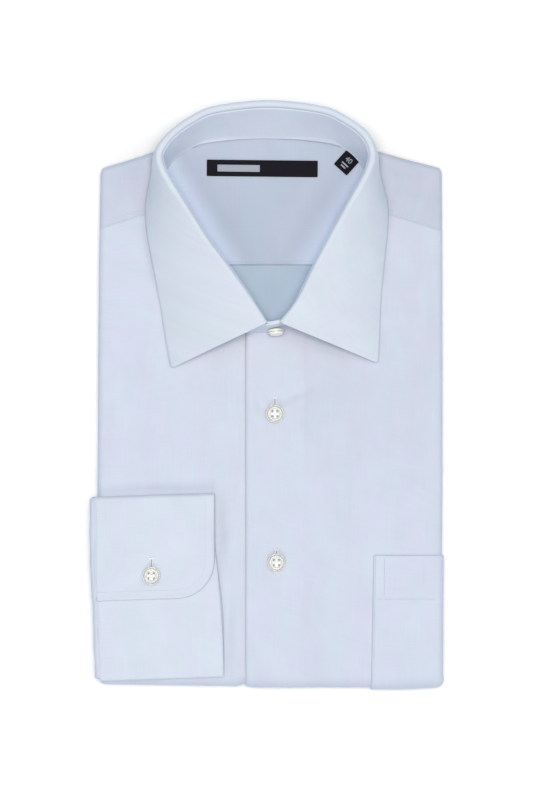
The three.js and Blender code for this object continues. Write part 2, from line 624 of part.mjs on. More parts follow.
// The sleeve behind the cuff: a flat tube that turns round the side fold and in between the layers.
// Each row is a point of the tube's middle, the way its outer ply faces and its lower end.
function sleeveRows() {
  const top = topAt(-98, -120) + SEAM + CUFF_CLOTH / 2 + CUFF.layer;
  const path = [
    { x: -108.9, z: top + 0.9, facing: 125, low: 2 },
    { x: -109.35, z: top - 0.3, facing: 155, low: 2 },
    { x: -109.45, z: top - 2.5, facing: 180, low: 2 },
    { x: -109.45, z: top - 5.5, facing: 180, low: 2.4 },
    { x: -109, z: 13.2, facing: 192, low: 3.4 },
    { x: -107.7, z: 11, facing: 225, low: 5 },
    { x: -105.4, z: MID + 0.1, facing: 262, low: 7 },
    { x: -101.5, z: MID, facing: 270, low: 9 },
  ];
  return path.map(({ x, z, facing, low }) => {
    const outX = Math.cos(THREE.MathUtils.degToRad(facing));
    const outZ = Math.sin(THREE.MathUtils.degToRad(facing));
    const upperEnd = CUFF.upperFold - 0.8 + cuffSlope(x);
    const lowerEnd = CUFF.lowerFold + low + cuffSlope(x);
    const ring = [];
    const ply = (from, to, side) => {
      for (let i = 0; i <= 8; i++) {
        const y = lerp(from, to, i / 8);
        const middle = x + drawnIn(y);
        ring.push(new THREE.Vector3(middle + outX * SLEEVE_PLY * side, y, z + outZ * SLEEVE_PLY * side));
      }
    };
    ply(upperEnd, lowerEnd, 1);
    ring.push(new THREE.Vector3(x + drawnIn(lowerEnd), lowerEnd - 0.8, z));
    ply(lowerEnd, upperEnd, -1);
    ring.push(new THREE.Vector3(x, upperEnd + 0.8, z));
    return ring;
  });
}

// The pocket: the front's own surface, moved out by one wall and a gap.
function pocketRows() {
  const rows = [];
  const bend = POCKET.bendAngle * BEND_RADIUS;
  const downs = [-POCKET.y, 112, 126, 141, 157, -BEND_Y];
  for (let j = 1; j <= 5; j++) downs.push(-BEND_Y + (bend * j) / 5);
  for (const down of downs) {
    const y = Math.max(-down, BOTTOM);
    const edge = sideX(1, y);
    const centre = edge - (ROLL + CLOTH / 2);
    const inner = POCKET.x - POCKET.lean * (down + POCKET.y);
    const row = [];
    for (let i = 0; i < 4; i++) row.push(foldedPoint(lerp(inner, centre, i / 4), down, STACK - CLOTH / 2));
    for (let i = 0; i <= 5; i++) {
      const angle = (POCKET.wrapAngle * i) / 5;
      row.push(foldedPoint(centre + ROLL * Math.sin(angle), down, STACK / 2 + ROLL * Math.cos(angle)));
    }
    rows.push(row);
  }
  return moved(rows, -CLOTH - SEAM).map((row) => row.map((p) => p.setZ(Math.max(p.z, CLOTH / 2))));
}

// A small woven piece that lies on the inside yoke.
function labelRows({ x, y, width, height, turn = 0, thick }) {
  const rows = [];
  for (let j = 0; j <= 2; j++) {
    const row = [];
    for (let i = 0; i <= 8; i++) {
      const across = width * (i / 8 - 0.5);
      const up = height * (0.5 - j / 2);
      const px = x + across * Math.cos(turn) - up * Math.sin(turn);
      const py = y + across * Math.sin(turn) + up * Math.cos(turn);
      const under = foldedPoint(px, -py, STACK - UNDER_CLOTH - sag(px, py));
      row.push(under.setZ(under.z + SEAM + thick / 2));
    }
    rows.push(row);
  }
  return rows;
}

// A four-hole button with a raised rim and a dished middle.
function buttonGeometry() {
  const { radius, thick, holeRadius, holeAt } = BUTTON;
  const profile = [
    [0, 0], [radius * 0.7, 0], [radius * 0.92, 0.5], [radius, 1.2], [radius * 0.96, thick * 0.86],
    [radius * 0.84, thick], [radius * 0.7, thick * 0.9], [radius * 0.6, thick * 0.66], [0, thick * 0.62],
  ];
  const blank = new THREE.LatheGeometry(profile.map(([r, z]) => new THREE.Vector2(r, z)), 24);
  blank.rotateX(Math.PI / 2);
  let solid = toManifold(indexed(pointsOf(blank), Array.from(weld(blank).index.array)));
  for (const [sx, sy] of [[1, 1], [1, -1], [-1, 1], [-1, -1]]) {
    const hole = new THREE.CylinderGeometry(holeRadius, holeRadius, 3 * thick, 8);
    hole.rotateX(Math.PI / 2).translate(sx * holeAt, sy * holeAt, thick / 2);
    solid = solid.subtract(toManifold(hole));
  }
  return fromManifold(solid);
}

// Welds a lathe's seam and drops the collapsed triangles on its axis.
function weld(geometry) {
  const bare = geometry.clone();
  bare.deleteAttribute("normal");
  bare.deleteAttribute("uv");
  const merged = mergeVertices(bare, 1e-4);
  const kept = [];
  const all = merged.index.array;
  for (let i = 0; i < all.length; i += 3) {
    const [a, b, c] = [all[i], all[i + 1], all[i + 2]];
    if (a !== b && b !== c && c !== a) kept.push(a, b, c);
  }
  merged.setIndex(kept);
  return merged;
}

function pointsOf(geometry) {
  const position = weld(geometry).attributes.position;
  return Array.from({ length: position.count }, (_, i) => new THREE.Vector3().fromBufferAttribute(position, i));
}

// Materials
const shirting = (name, color) => new THREE.MeshStandardMaterial({ name, color, roughness: 0.85, metalness: 0 });
const BLUE = shirting("shirting", 0xd3dcec);
const BLUE_INSIDE = shirting("shirting", 0xc3cee2);
const PEARL = new THREE.MeshStandardMaterial({ name: "button", color: 0xeeeeea, roughness: 0.28, metalness: 0 });
const WOVEN_BLACK = new THREE.MeshStandardMaterial({ name: "label", color: 0x1b1b20, roughness: 0.7, metalness: 0 });

// Assembly
const shirt = new THREE.Group();
function add(name, geometry, material) {
  const mesh = new THREE.Mesh(geometry, material);
  mesh.name = name;
  shirt.add(mesh);
  return mesh;
}

add("folded_layers", fromManifold(toManifold(hiddenStack()).add(toManifold(hiddenSleeves()))), BLUE);
add("front_right", clothWall(frontRows(-1), CLOTH), BLUE);
add("front_left", clothWall(frontRows(1), CLOTH), BLUE);
add("yoke_outer", clothWall(outerYoke(), CLOTH), BLUE);
add("yoke_inner", clothWall(insideYoke(), CLOTH), BLUE_INSIDE);
add("back", clothWall(insideBack(), CLOTH), BLUE_INSIDE);
add("collar_band", clothWall(bandRows(), CLOTH), BLUE);
add("collar_leaf", clothWall(leafRows(), CLOTH), BLUE);
add("cuff_right", clothWall(cuffRows(), CUFF_CLOTH), BLUE);
add("sleeve_right", clothWall(sleeveRows(), CLOTH, true), BLUE);
add("pocket", clothWall(pocketRows(), CLOTH), BLUE);
add("label_main", clothWall(labelRows(LABEL), LABEL.thick), WOVEN_BLACK);
add("label_size", clothWall(labelRows(SIZE_TAB), SIZE_TAB.thick), WOVEN_BLACK);

for (const { name, x, y } of FRONT_BUTTONS) {
  add(name, buttonGeometry(), PEARL).position.set(x, y, topAt(x, y) + SEAM + 0.2);
}
const cuffTop = topAt(CUFF_BUTTON.x, CUFF_BUTTON.y) + SEAM + CUFF_CLOTH + 2 * CUFF.layer;
add("button_cuff", buttonGeometry(), PEARL).position.set(CUFF_BUTTON.x, CUFF_BUTTON.y, cuffTop + SEAM + 0.1);

// The collar button stands on the front of the band, its face towards the hem.
const bandLean = 1.3;
const collarButton = add("button_collar", buttonGeometry(), PEARL);
collarButton.rotation.x = bandLean;
collarButton.position.set(CENTRE_FRONT + 0.2, 39.2, 30.5);

export default shirt;
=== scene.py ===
# A long sleeve dress shirt, folded flat with its collar standing and one cuff brought to the front.
# The tables and the surface functions are in millimetres; meshes are made in metres.
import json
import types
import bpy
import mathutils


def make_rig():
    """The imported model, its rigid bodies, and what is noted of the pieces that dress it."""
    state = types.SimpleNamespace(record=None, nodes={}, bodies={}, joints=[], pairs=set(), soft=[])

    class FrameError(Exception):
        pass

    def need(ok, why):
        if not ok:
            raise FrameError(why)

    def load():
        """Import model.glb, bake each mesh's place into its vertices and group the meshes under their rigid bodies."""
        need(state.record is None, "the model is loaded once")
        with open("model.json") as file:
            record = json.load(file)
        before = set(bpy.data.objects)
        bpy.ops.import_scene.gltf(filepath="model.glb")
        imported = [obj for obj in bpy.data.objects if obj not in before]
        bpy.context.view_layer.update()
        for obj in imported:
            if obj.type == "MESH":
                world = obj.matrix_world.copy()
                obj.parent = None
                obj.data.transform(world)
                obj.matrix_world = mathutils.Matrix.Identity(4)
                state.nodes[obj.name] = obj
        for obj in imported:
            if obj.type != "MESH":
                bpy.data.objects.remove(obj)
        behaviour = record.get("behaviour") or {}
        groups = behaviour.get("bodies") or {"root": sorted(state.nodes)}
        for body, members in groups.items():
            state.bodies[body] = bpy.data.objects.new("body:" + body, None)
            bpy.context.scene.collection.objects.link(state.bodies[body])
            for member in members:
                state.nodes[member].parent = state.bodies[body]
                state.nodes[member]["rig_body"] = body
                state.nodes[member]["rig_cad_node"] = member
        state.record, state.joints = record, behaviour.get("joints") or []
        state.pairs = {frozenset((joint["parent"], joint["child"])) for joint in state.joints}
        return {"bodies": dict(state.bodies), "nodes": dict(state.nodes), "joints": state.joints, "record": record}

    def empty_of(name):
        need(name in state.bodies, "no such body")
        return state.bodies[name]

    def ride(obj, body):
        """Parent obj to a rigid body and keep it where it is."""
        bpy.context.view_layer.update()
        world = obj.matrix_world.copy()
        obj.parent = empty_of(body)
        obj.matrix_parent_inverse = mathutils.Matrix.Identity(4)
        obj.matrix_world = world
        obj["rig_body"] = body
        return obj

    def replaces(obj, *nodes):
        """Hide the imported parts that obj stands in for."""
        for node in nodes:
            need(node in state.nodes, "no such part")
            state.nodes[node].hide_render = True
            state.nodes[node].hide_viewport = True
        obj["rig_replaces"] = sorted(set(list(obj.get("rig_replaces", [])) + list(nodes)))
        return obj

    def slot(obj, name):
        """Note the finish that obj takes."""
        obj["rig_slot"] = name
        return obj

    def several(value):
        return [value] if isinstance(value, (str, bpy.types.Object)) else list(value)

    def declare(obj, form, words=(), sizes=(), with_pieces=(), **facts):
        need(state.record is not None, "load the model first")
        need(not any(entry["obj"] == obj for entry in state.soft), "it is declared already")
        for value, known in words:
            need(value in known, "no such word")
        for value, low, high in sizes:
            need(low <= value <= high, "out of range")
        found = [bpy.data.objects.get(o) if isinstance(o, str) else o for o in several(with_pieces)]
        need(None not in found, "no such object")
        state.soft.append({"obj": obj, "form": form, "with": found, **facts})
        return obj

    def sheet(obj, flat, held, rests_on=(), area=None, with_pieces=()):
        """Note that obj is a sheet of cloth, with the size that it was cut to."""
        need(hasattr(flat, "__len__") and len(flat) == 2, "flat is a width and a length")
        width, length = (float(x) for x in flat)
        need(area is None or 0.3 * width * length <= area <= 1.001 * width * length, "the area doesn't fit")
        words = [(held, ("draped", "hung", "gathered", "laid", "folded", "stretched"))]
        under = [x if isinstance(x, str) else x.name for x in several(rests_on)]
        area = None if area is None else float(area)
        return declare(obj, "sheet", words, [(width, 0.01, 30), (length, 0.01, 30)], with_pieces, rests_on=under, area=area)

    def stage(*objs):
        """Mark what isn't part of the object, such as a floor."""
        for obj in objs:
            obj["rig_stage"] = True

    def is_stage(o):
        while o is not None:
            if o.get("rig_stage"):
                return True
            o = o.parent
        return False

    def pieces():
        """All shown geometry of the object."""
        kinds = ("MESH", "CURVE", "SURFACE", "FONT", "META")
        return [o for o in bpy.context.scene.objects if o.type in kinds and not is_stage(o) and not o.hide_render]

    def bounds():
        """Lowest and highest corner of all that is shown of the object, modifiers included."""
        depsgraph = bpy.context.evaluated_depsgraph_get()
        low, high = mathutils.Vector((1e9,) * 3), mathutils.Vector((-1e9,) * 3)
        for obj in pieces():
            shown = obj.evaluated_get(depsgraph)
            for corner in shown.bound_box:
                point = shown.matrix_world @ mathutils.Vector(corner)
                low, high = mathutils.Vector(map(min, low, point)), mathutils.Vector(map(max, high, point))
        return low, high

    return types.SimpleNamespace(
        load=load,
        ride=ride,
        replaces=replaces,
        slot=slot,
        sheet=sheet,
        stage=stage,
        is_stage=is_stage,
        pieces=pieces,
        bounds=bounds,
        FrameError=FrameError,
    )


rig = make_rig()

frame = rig.load()
cad_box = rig.bounds()

import json
import math

import bmesh
import bpy
import numpy as np
from mathutils import Matrix, Vector

MM = 0.001
UP = np.array([0, 0, 1.0])
scene = bpy.context.scene


def add_object(name, data):
    made = bpy.data.objects.new(name, data)
    scene.collection.objects.link(made)
    return made


def baked(obj):
    """The object's mesh with its modifiers, or its text as a mesh."""
    return bpy.data.meshes.new_from_object(obj.evaluated_get(bpy.context.evaluated_depsgraph_get()))


# Camera: straight above the packet, as in the photograph
CAMERA_HEIGHT = 2000.0
VIEW_CENTRE = (-0.25, -6.25)
VIEW_HEIGHT = 505.0
FOCUS_PLANE = 20.0
SENSOR = 36.0
lens_data = bpy.data.cameras.new("camera")
lens_data.sensor_width = SENSOR
lens_data.lens = SENSOR * (CAMERA_HEIGHT - FOCUS_PLANE) / VIEW_HEIGHT
lens_data.clip_start = 0.05
scene.camera = add_object("camera", lens_data)
scene.camera.location = (VIEW_CENTRE[0] * MM, VIEW_CENTRE[1] * MM, CAMERA_HEIGHT * MM)

# Driving sizes, the same as the solids'
CLOTH = 1.2
CUFF_CLOTH = 1.5
SEAM = 0.3
STACK = 7.8
SLEEVES = 3.6
BOTTOM = -184.3
TAIL_SHORT = 13.0
TUCK = 13.0
ROLL = (STACK - CLOTH) / 2
HEIGHT = 2 * STACK + SLEEVES
MID = HEIGHT / 2
BEND_Y = BOTTOM + MID
BEND_RADIUS = MID - CLOTH / 2
BEND = math.pi * BEND_RADIUS
UNDER_CLOTH = CLOTH + SEAM
PLACKET_EDGE = -12.8
UNDERLAP_EDGE = 8.4
CENTRE_FRONT = 5.4
NECK_FRONT = 38.6
YOKE_BOTTOM = 81.25
NECK_AT_YOKE = 5.25
YOKE_SLOPE = 0.32
# How much of the fine creases shows on the lining in the neck, at the collar's edge and under the cuff
NECK_DETAIL = 0.7
LEAF_DETAIL = 0.6
CUFF_DETAIL = 0.35

SIDES_Y = [-182, -128, -60, 22, 97, 164]
SIDES_LEFT = [-103.6, -103.8, -106, -105.7, -105.2, -104]
SIDES_RIGHT = [109.2, 109.3, 110, 110, 109.9, 109.8]

# x, y and the collar station of the packet's top edge
TOP_EDGE = [
    (109.9, 101.8, NECK_AT_YOKE),
    (109.9, 122, 5.75),
    (109.9, 139.4, 6.1),
    (108.3, 142, 6.3),
    (88, 147, 6.75),
    (70, 152.3, 7.4),
    (54, 157.3, 8.4),
    (37, 161.2, 9.75),
    (18, 163.4, 10.5),
    (0, 163.9, 11),
]
EDGE_X, EDGE_Y, EDGE_STATIONS = np.array(TOP_EDGE, float).T
SHOULDER_X = 70.0

# Half of the collar from the front end to the centre back: neck seam x y, roll line x y z,
# free edge x y z. An edge height of None lies on the garment.
COLLAR = [
    (5.8, 40.6, 5.6, 44.5, 46.0, 64.6, 17.6, None),
    (14, 49.5, 13.7, 58, 46.4, 66.4, 33, None),
    (27.3, 69.5, 27, 79.8, 47.4, 69.2, 60, None),
    (38.5, 86.5, 37.4, 96, 48.3, 71.8, 80, None),
    (49.5, 103.5, 47.3, 112.9, 49.2, 74.6, 101, None),
    (58.5, 115, 56.6, 128.5, 50.0, 75.1, 118, None),
    (63.8, 126, 62.4, 139.5, 50.4, 71.4, 136, None),
    (64.8, 136, 63.9, 149, 50.2, 69.4, 149, None),
    (60, 145, 58, 159, 49.6, 63.5, 158.4, 15.5),
    (49.5, 153.8, 46.4, 167.6, 49.0, 51, 168, 8.5),
    (34, 160, 32, 173.8, 48.5, 34.5, 175.2, 5.4),
    (0, 160.9, 0, 177.2, 48.2, 0, 178.6, 4.4),
]
STATIONS = len(COLLAR) - 1
ROLL_END_SHIFT = {-1: (0.0, 0.0), 1: (-2.6, 0.3)}
# How far the free edge leans sideways at its first stations
EDGE_LEAN = dict(zip(COLLAR, (-0.6, -1.6, -2.7, -1.5, -0.2)))
EDGE_LIFT = {-1: 3.2, 1: 2.0}
CORNER_FLARE = {-1: 1.8, 1: 0.8}
LEAF_ROLL = 1.7
POINT_RADIUS = 2.2
BAND_UNDER_ROLL = 3.6

# Soft forms of the top face: x, y, turn, length, width, height. A trough has a negative height.
FORMS = [
    (-8, -4, 2.7, 34, 7, 0.5),
    (22, -3, 0.35, 30, 8, 0.4),
    (-88, 128, 0.45, 40, 9, 0.7),
    (92, 126, -0.5, 38, 10, 0.6),
    (-82, 60, 1.45, 90, 14, 0.5),
    (84, 20, 1.6, 120, 16, 0.6),
    (48, -60, 1.5, 110, 14, -0.4),
    (-48, -20, 1.66, 80, 12, -0.5),
]

CREASE_DEPTH = 2.6

# The finer creases, which only the cloth here has: the same columns
CREASES = [
    (-92, 118, 0.62, 26, 2.6, 0.34),
    (-98, 126, 0.4, 20, 2.2, -0.26),
    (-83, 133, 0.2, 24, 3.0, 0.22),
    (90, 121, -0.42, 28, 2.6, 0.34),
    (97, 132, -0.7, 20, 2.2, -0.26),
    (84, 135, -0.25, 22, 2.6, 0.2),
    (93, -58, -0.62, 40, 3.4, 0.5),
    (99, -68, -0.5, 30, 3.0, -0.42),
    (86, -44, -0.8, 26, 2.8, 0.24),
    (24, -24, -0.9, 34, 3.4, 0.14),
    (4.5, -7, 0.15, 16, 3.2, -0.42),
    (5.5, -100, 0.1, 14, 3.0, -0.38),
    (17, 0.8, 0.42, 26, 3.2, -0.62),
    (19, 6.5, 0.5, 24, 3.0, 0.16),
    (17.5, -6.6, 0.42, 26, 3.2, 0.58),
    (-3.4, -6.5, 1.8, 16, 2.8, -0.72),
    (-7, -13, 1.7, 18, 2.4, 0.24),
    (14, 16, 1.2, 30, 3.6, 0.3),
    (30, -112, 0.4, 26, 3.0, 0.18),
    (-20, 20, 1.85, 44, 4.0, 0.26),
    (-27, -64, 1.5, 60, 4.4, 0.26),
    (-34, 6, 1.7, 70, 4.6, -0.22),
    (-74, 30, 1.35, 54, 4.4, 0.3),
    (-90, 8, 1.62, 60, 4.0, -0.26),
    (-97, -34, 1.5, 50, 3.2, 0.3),
    (56, 4, 1.72, 70, 5.0, 0.3),
    (72, -20, 1.5, 80, 4.6, -0.26),
    (99, 40, 1.55, 90, 3.8, 0.3),
    (41, -92, 1.66, 56, 4.4, 0.26),
    (52, -140, 1.5, 50, 4.2, -0.24),
    (-14.5, -140, 1.56, 60, 3.2, 0.2),
    (-30.4, -90, 1.55, 56, 4.8, -1.3),
    (-25.2, -151, 1.53, 56, 4.2, -0.95),
    (-70, -60.0, 0.03, 84, 4.2, -0.85),
]

CUFF = dict(seam=-107.4, hand=-33.2, under_hand=-27.4, upper=-63.6, lower=-177.6, tab_end=-127.8,
            tab_radius=22.5, underlap_end=-96.0, layer=1.9)
CUFF_REAR = [(90, 0), (108, 0.22), (124, 0.68), (142, 0.95), (160, 1)]
CUFF_BUTTON = (-72.0, -113.3)
SLEEVE_PLY = 0.85
POCKET = dict(x=67.1, y=-101.2, lean=0.018, bend=2.3, wrap=2.6)
FRONT_BUTTONS = [("button_front_1", 5.0, -12.3), ("button_front_2", 6.0, -105.2)]
BUTTON = dict(radius=5.7, thick=2.3, hole=0.75, hole_at=1.45)
LABEL = dict(x=-2.9, y=141.3, width=69.0, height=9.8, turn=-0.011, thick=0.6)
SIZE_TAB = dict(x=50.0, y=144.9, width=10.4, height=11.7, turn=-0.74, thick=0.6)


# Surface functions. They take numbers or arrays.
def smooth(x, low, high):
    t = np.clip((np.asarray(x, float) - low) / (high - low), 0, 1)
    return t * t * (3 - 2 * t)


def lerp(a, b, t):
    return a + (b - a) * t


def size_of(v):
    return np.linalg.norm(v, axis=-1, keepdims=True)


def unit(v):
    return v / np.maximum(size_of(v), 1e-9)


def side_x(side, y):
    return np.interp(y, SIDES_Y, SIDES_RIGHT if side > 0 else SIDES_LEFT)


def top_edge_y(x):
    return np.interp(np.abs(x), EDGE_X[::-1], EDGE_Y[::-1])


TAIL_END = float(top_edge_y(SHOULDER_X)) - TAIL_SHORT


def top_edge_point(side, station):
    x, y = (float(np.interp(station, EDGE_STATIONS, column)) for column in (EDGE_X, EDGE_Y))
    reach = abs(float(side_x(side, y))) - SHOULDER_X
    if x > SHOULDER_X:
        x = SHOULDER_X + (x - SHOULDER_X) * reach / (EDGE_X[0] - SHOULDER_X)
    return np.array([side * x, y])


def ridges(rows, x, y):
    total = np.zeros(np.broadcast(x, y).shape)
    for cx, cy, turn, length, width, height in rows:
        along = (x - cx) * math.cos(turn) + (y - cy) * math.sin(turn)
        across = (y - cy) * math.cos(turn) - (x - cx) * math.sin(turn)
        total = total + height * np.exp(-(2 * along / length) ** 2 - (across / width) ** 2)
    return total


# Slight waves all over: turn, length and phase
WAVE_SLOPE = 0.0016
draws = np.random.default_rng(11)
WAVES = list(zip(*(draws.uniform(low, high, 14) for low, high in ((0, math.pi), (22, 90), (0, 6.28)))))


def undulation(x, y):
    total = 0.0
    for turn, length, phase in WAVES:
        along = (x * math.cos(turn) + y * math.sin(turn)) * (2 * math.pi / length)
        total = total + WAVE_SLOPE * length * np.sin(along + phase)
    return total


def relief(x, y):
    crown = 0.9 * (1 - (x / 112) ** 2) * smooth(y, -182, -120)
    thin_top = -2.4 * smooth(y, 70, 150)
    overlap = smooth(x, PLACKET_EDGE - 6.4, PLACKET_EDGE) * (1 - smooth(x, UNDERLAP_EDGE, 34))
    placket = 0.8 * overlap * (1 - smooth(y, 36, 60))
    return crown + thin_top + placket + ridges(FORMS, x, y)


def fine(x, y):
    placket = 0.65 * smooth(x, -13.5, -12.6) * (1 - smooth(x, 22.8, 23.6)) * (1 - smooth(y, 36, 44))
    return CREASE_DEPTH * ridges(CREASES, x, y) + 0.7 * undulation(x, y) + placket


def bottom_skew(x):
    return 0.5 * smooth(-x, 9, 13) + 1.6 * np.clip(-x / 106, 0, 1) + 1.2 * smooth(x, 80, 112)


def fold(x, down, rise, detail=1.0):
    """A point of the side-folded stack once the tail is turned under."""
    x, down, rise = np.broadcast_arrays(
        np.asarray(x, float), np.asarray(down, float), np.asarray(rise, float))
    start = -BEND_Y
    angle = np.clip((down - start) / BEND_RADIUS, 0, math.pi)
    past = down - start - angle * BEND_RADIUS
    radius = SLEEVES / 2 + rise
    y = np.where(angle < math.pi, BEND_Y - past - radius * np.sin(angle), BEND_Y + past)
    z = MID + radius * np.cos(angle)
    y = y + bottom_skew(x) * smooth(-y, 150, 176)
    settle = np.clip((z - 2) / (HEIGHT - 2), 0, 1)
    z = z + (relief(x, y) + detail * fine(x, y)) * settle
    return np.stack([x, y, z], -1)


def top_at(x, y, detail=1.0):
    return HEIGHT + relief(x, y) + detail * fine(x, y)


def sag(x, y):
    across = 1 - smooth(np.abs(x), 18, 62)
    return 2 * across * smooth(y, 30, 70) * (1 - smooth(y, 128, 160))


def inside(x, y, below=0.0):
    """The lining surface seen through the neck, or a place so far below it."""
    return fold(x, -y, STACK - UNDER_CLOTH - below - sag(x, y), NECK_DETAIL)


def in_band(value, low, high, soft):
    return smooth(value, low - soft, low) * (1 - smooth(value, high, high + soft))


# The collar's lines
def drift(y):
    at_neck = CENTRE_FRONT * (1 - smooth(y, 46, 112))
    return at_neck - 0.8 * smooth(y, 112, 140) * (1 - smooth(y, 146, 156)) + 0.9 * smooth(y, 150, 162)


def tilt(x, y):
    return 0.024 * x * (1 - smooth(y, 20, 110))


def collar_points(kind):
    column = {"seam": 0, "roll": 2, "edge": 5}[kind]

    def point(row, side):
        x, y = side * row[column], row[column + 1]
        y = y + tilt(x, y)
        x = x + drift(y)
        if kind == "seam":
            z = top_at(x, y, 0) + SEAM
        elif kind == "roll":
            z = row[4]
            if row is COLLAR[0]:
                x, y = x + ROLL_END_SHIFT[side][0], y + ROLL_END_SHIFT[side][1]
        else:
            x = x + EDGE_LEAN.get(row, 0)
            z = row[7] if row[7] is not None else top_at(x, y, LEAF_DETAIL) + SEAM + CLOTH / 2 + 0.15
            z = z + EDGE_LIFT[side] * float(in_band(y, 84, 134, 26))
        return np.array([x, y, z], float)
    return np.array([point(r, -1) for r in COLLAR] + [point(r, 1) for r in COLLAR[:-1][::-1]])


class Line:
    """A Catmull-Rom curve through points, read at 0 to 1."""

    def __init__(self, points):
        self.p = np.concatenate([2 * points[:1] - points[1:2], points, 2 * points[-1:] - points[-2:-1]])

    def at(self, t):
        last = len(self.p) - 3
        t = np.clip(np.asarray(t, float), 0, 1) * last
        k = np.minimum(t.astype(int), last - 1)
        w = (t - k)[..., None]
        p0, p1, p2, p3 = (self.p[k + step] for step in range(4))
        m0, m1 = (p2 - p0) / 2, (p3 - p1) / 2
        return (p1 + m0 * w + (-3 * p1 + 3 * p2 - 2 * m0 - m1) * w ** 2
                + (2 * p1 - 2 * p2 + m0 + m1) * w ** 3)

    def out(self, t):
        step = 0.002
        d = self.at(np.asarray(t) + step) - self.at(np.asarray(t) - step)
        return unit(np.stack([-d[..., 1], d[..., 0], np.zeros(d.shape[:-1])], -1))


SEAM_LINE, ROLL_LINE, EDGE_LINE = (Line(collar_points(kind)) for kind in ("seam", "roll", "edge"))


def line_t(side, station):
    t = np.asarray(station, float) / (2 * STATIONS)
    return t if side < 0 else 1 - t


def neck_edge(side, station):
    t = line_t(side, station)
    return SEAM_LINE.at(t) - 0.9 * SEAM_LINE.out(t)


# Cloth as grids of points: each is rows x columns x 3
def grid_normals(p, closed=False):
    if closed:
        along = np.roll(p, -1, 1) - np.roll(p, 1, 1)
    else:
        along = np.gradient(p, axis=1)
    return unit(np.cross(along, np.gradient(p, axis=0)))


def lengths(p, axis=0):
    """How far each point is along its row or column of points, from the first."""
    steps = np.linalg.norm(np.diff(p, axis=axis), axis=-1)
    first = np.zeros_like(np.take(steps, [0], axis))
    return np.concatenate([first, np.cumsum(steps, axis)], axis)


def read(table, places, at):
    """The columns of a table of points, read at a place along it."""
    return np.array([np.interp(at, places, table[:, a]) for a in range(3)])


def arc_uv(p):
    """Lengths along the rows and columns, in millimetres, so that weave keeps its scale."""
    return np.stack([lengths(p, 1) + p[:, :1, 0], lengths(p, 0) - p[:1, :, 1]], -1)


def quads(rows, cols, closed=False):
    """The faces of a grid of points. A closed one joins its last column to its first."""
    faces = []
    for j in range(rows - 1):
        for i in range(cols if closed else cols - 1):
            a, b = j * cols + i, j * cols + (i + 1) % cols
            faces.append((a, b, b + cols, a + cols))
    return faces


def ring_faces(rings, count):
    """The faces round rings of so many points, and the caps to two last points at their ends."""
    faces = quads(rings, count, True)
    last = (rings - 1) * count
    for i in range(count):
        follows = (i + 1) % count
        faces.append((rings * count, follows, i))
        faces.append((rings * count + 1, last + i, last + follows))
    return faces


def make_mesh(name, verts, faces, uv=None):
    """A smooth mesh that faces outwards, from points in millimetres."""
    mesh = bpy.data.meshes.new(name)
    mesh.from_pydata((np.asarray(verts, float) * MM).tolist(), [], faces)
    mesh.update()
    mesh.polygons.foreach_set("use_smooth", [True] * len(mesh.polygons))
    if uv is not None:
        layer = mesh.uv_layers.new(name="cloth")
        index = np.empty(len(mesh.loops), dtype=np.int32)
        mesh.loops.foreach_get("vertex_index", index)
        layer.data.foreach_set("uv", np.asarray(uv, np.float32)[index].ravel())
    work = bmesh.new()
    work.from_mesh(mesh)
    bmesh.ops.recalc_face_normals(work, faces=work.faces)
    work.to_mesh(mesh)
    work.free()
    return add_object(name, mesh)


def shell(name, p, outer=0.6, inner=0.4, closed=False, side=1.0):
    """A cloth wall round the grid p with rounded edges. side turns the grid's normals outwards."""
    n = grid_normals(p, closed) * side
    rows, cols = p.shape[:2]
    half = rows * cols
    front, back = p + n * outer, p - n * inner
    uv = arc_uv(p)
    verts = [front.reshape(-1, 3), back.reshape(-1, 3)]
    uvs = [uv.reshape(-1, 2), uv.reshape(-1, 2)]
    faces = []
    for a, b, c, d in quads(rows, cols, closed):
        faces += [(a, b, c, d), (half + a, half + d, half + c, half + b)]
    middle = (front + back) / 2
    reach = (float(np.max(outer)) + inner) * 0.42

    def round_edge(ring):
        """Joins both faces along a loop of grid places, round a line set out from the cloth's middle."""
        inward = [(min(max(j, 1), rows - 2), i if closed else min(max(i, 1), cols - 2))
                  for j, i in ring]
        here = np.array([middle[place] for place in ring])
        away = unit(here - np.array([middle[place] for place in inward]))
        start = sum(len(v) for v in verts)
        verts.append(here + away * reach)
        uvs.append(np.array([uv[place] for place in ring]))
        for k, (j, i) in enumerate(ring):
            m = (k + 1) % len(ring)
            f0, f1 = j * cols + i, ring[m][0] * cols + ring[m][1]
            faces.append((f0, f1, start + m, start + k))
            faces.append((start + k, start + m, half + f1, half + f0))

    if closed:
        round_edge([(0, i) for i in range(cols)])
        round_edge([(rows - 1, i) for i in range(cols)])
    else:
        round_edge([(0, i) for i in range(cols - 1)] + [(j, cols - 1) for j in range(rows - 1)]
                   + [(rows - 1, i) for i in range(cols - 1, 0, -1)]
                   + [(j, 0) for j in range(rows - 1, 0, -1)])
    return make_mesh(name, np.concatenate(verts), faces, np.concatenate(uvs))


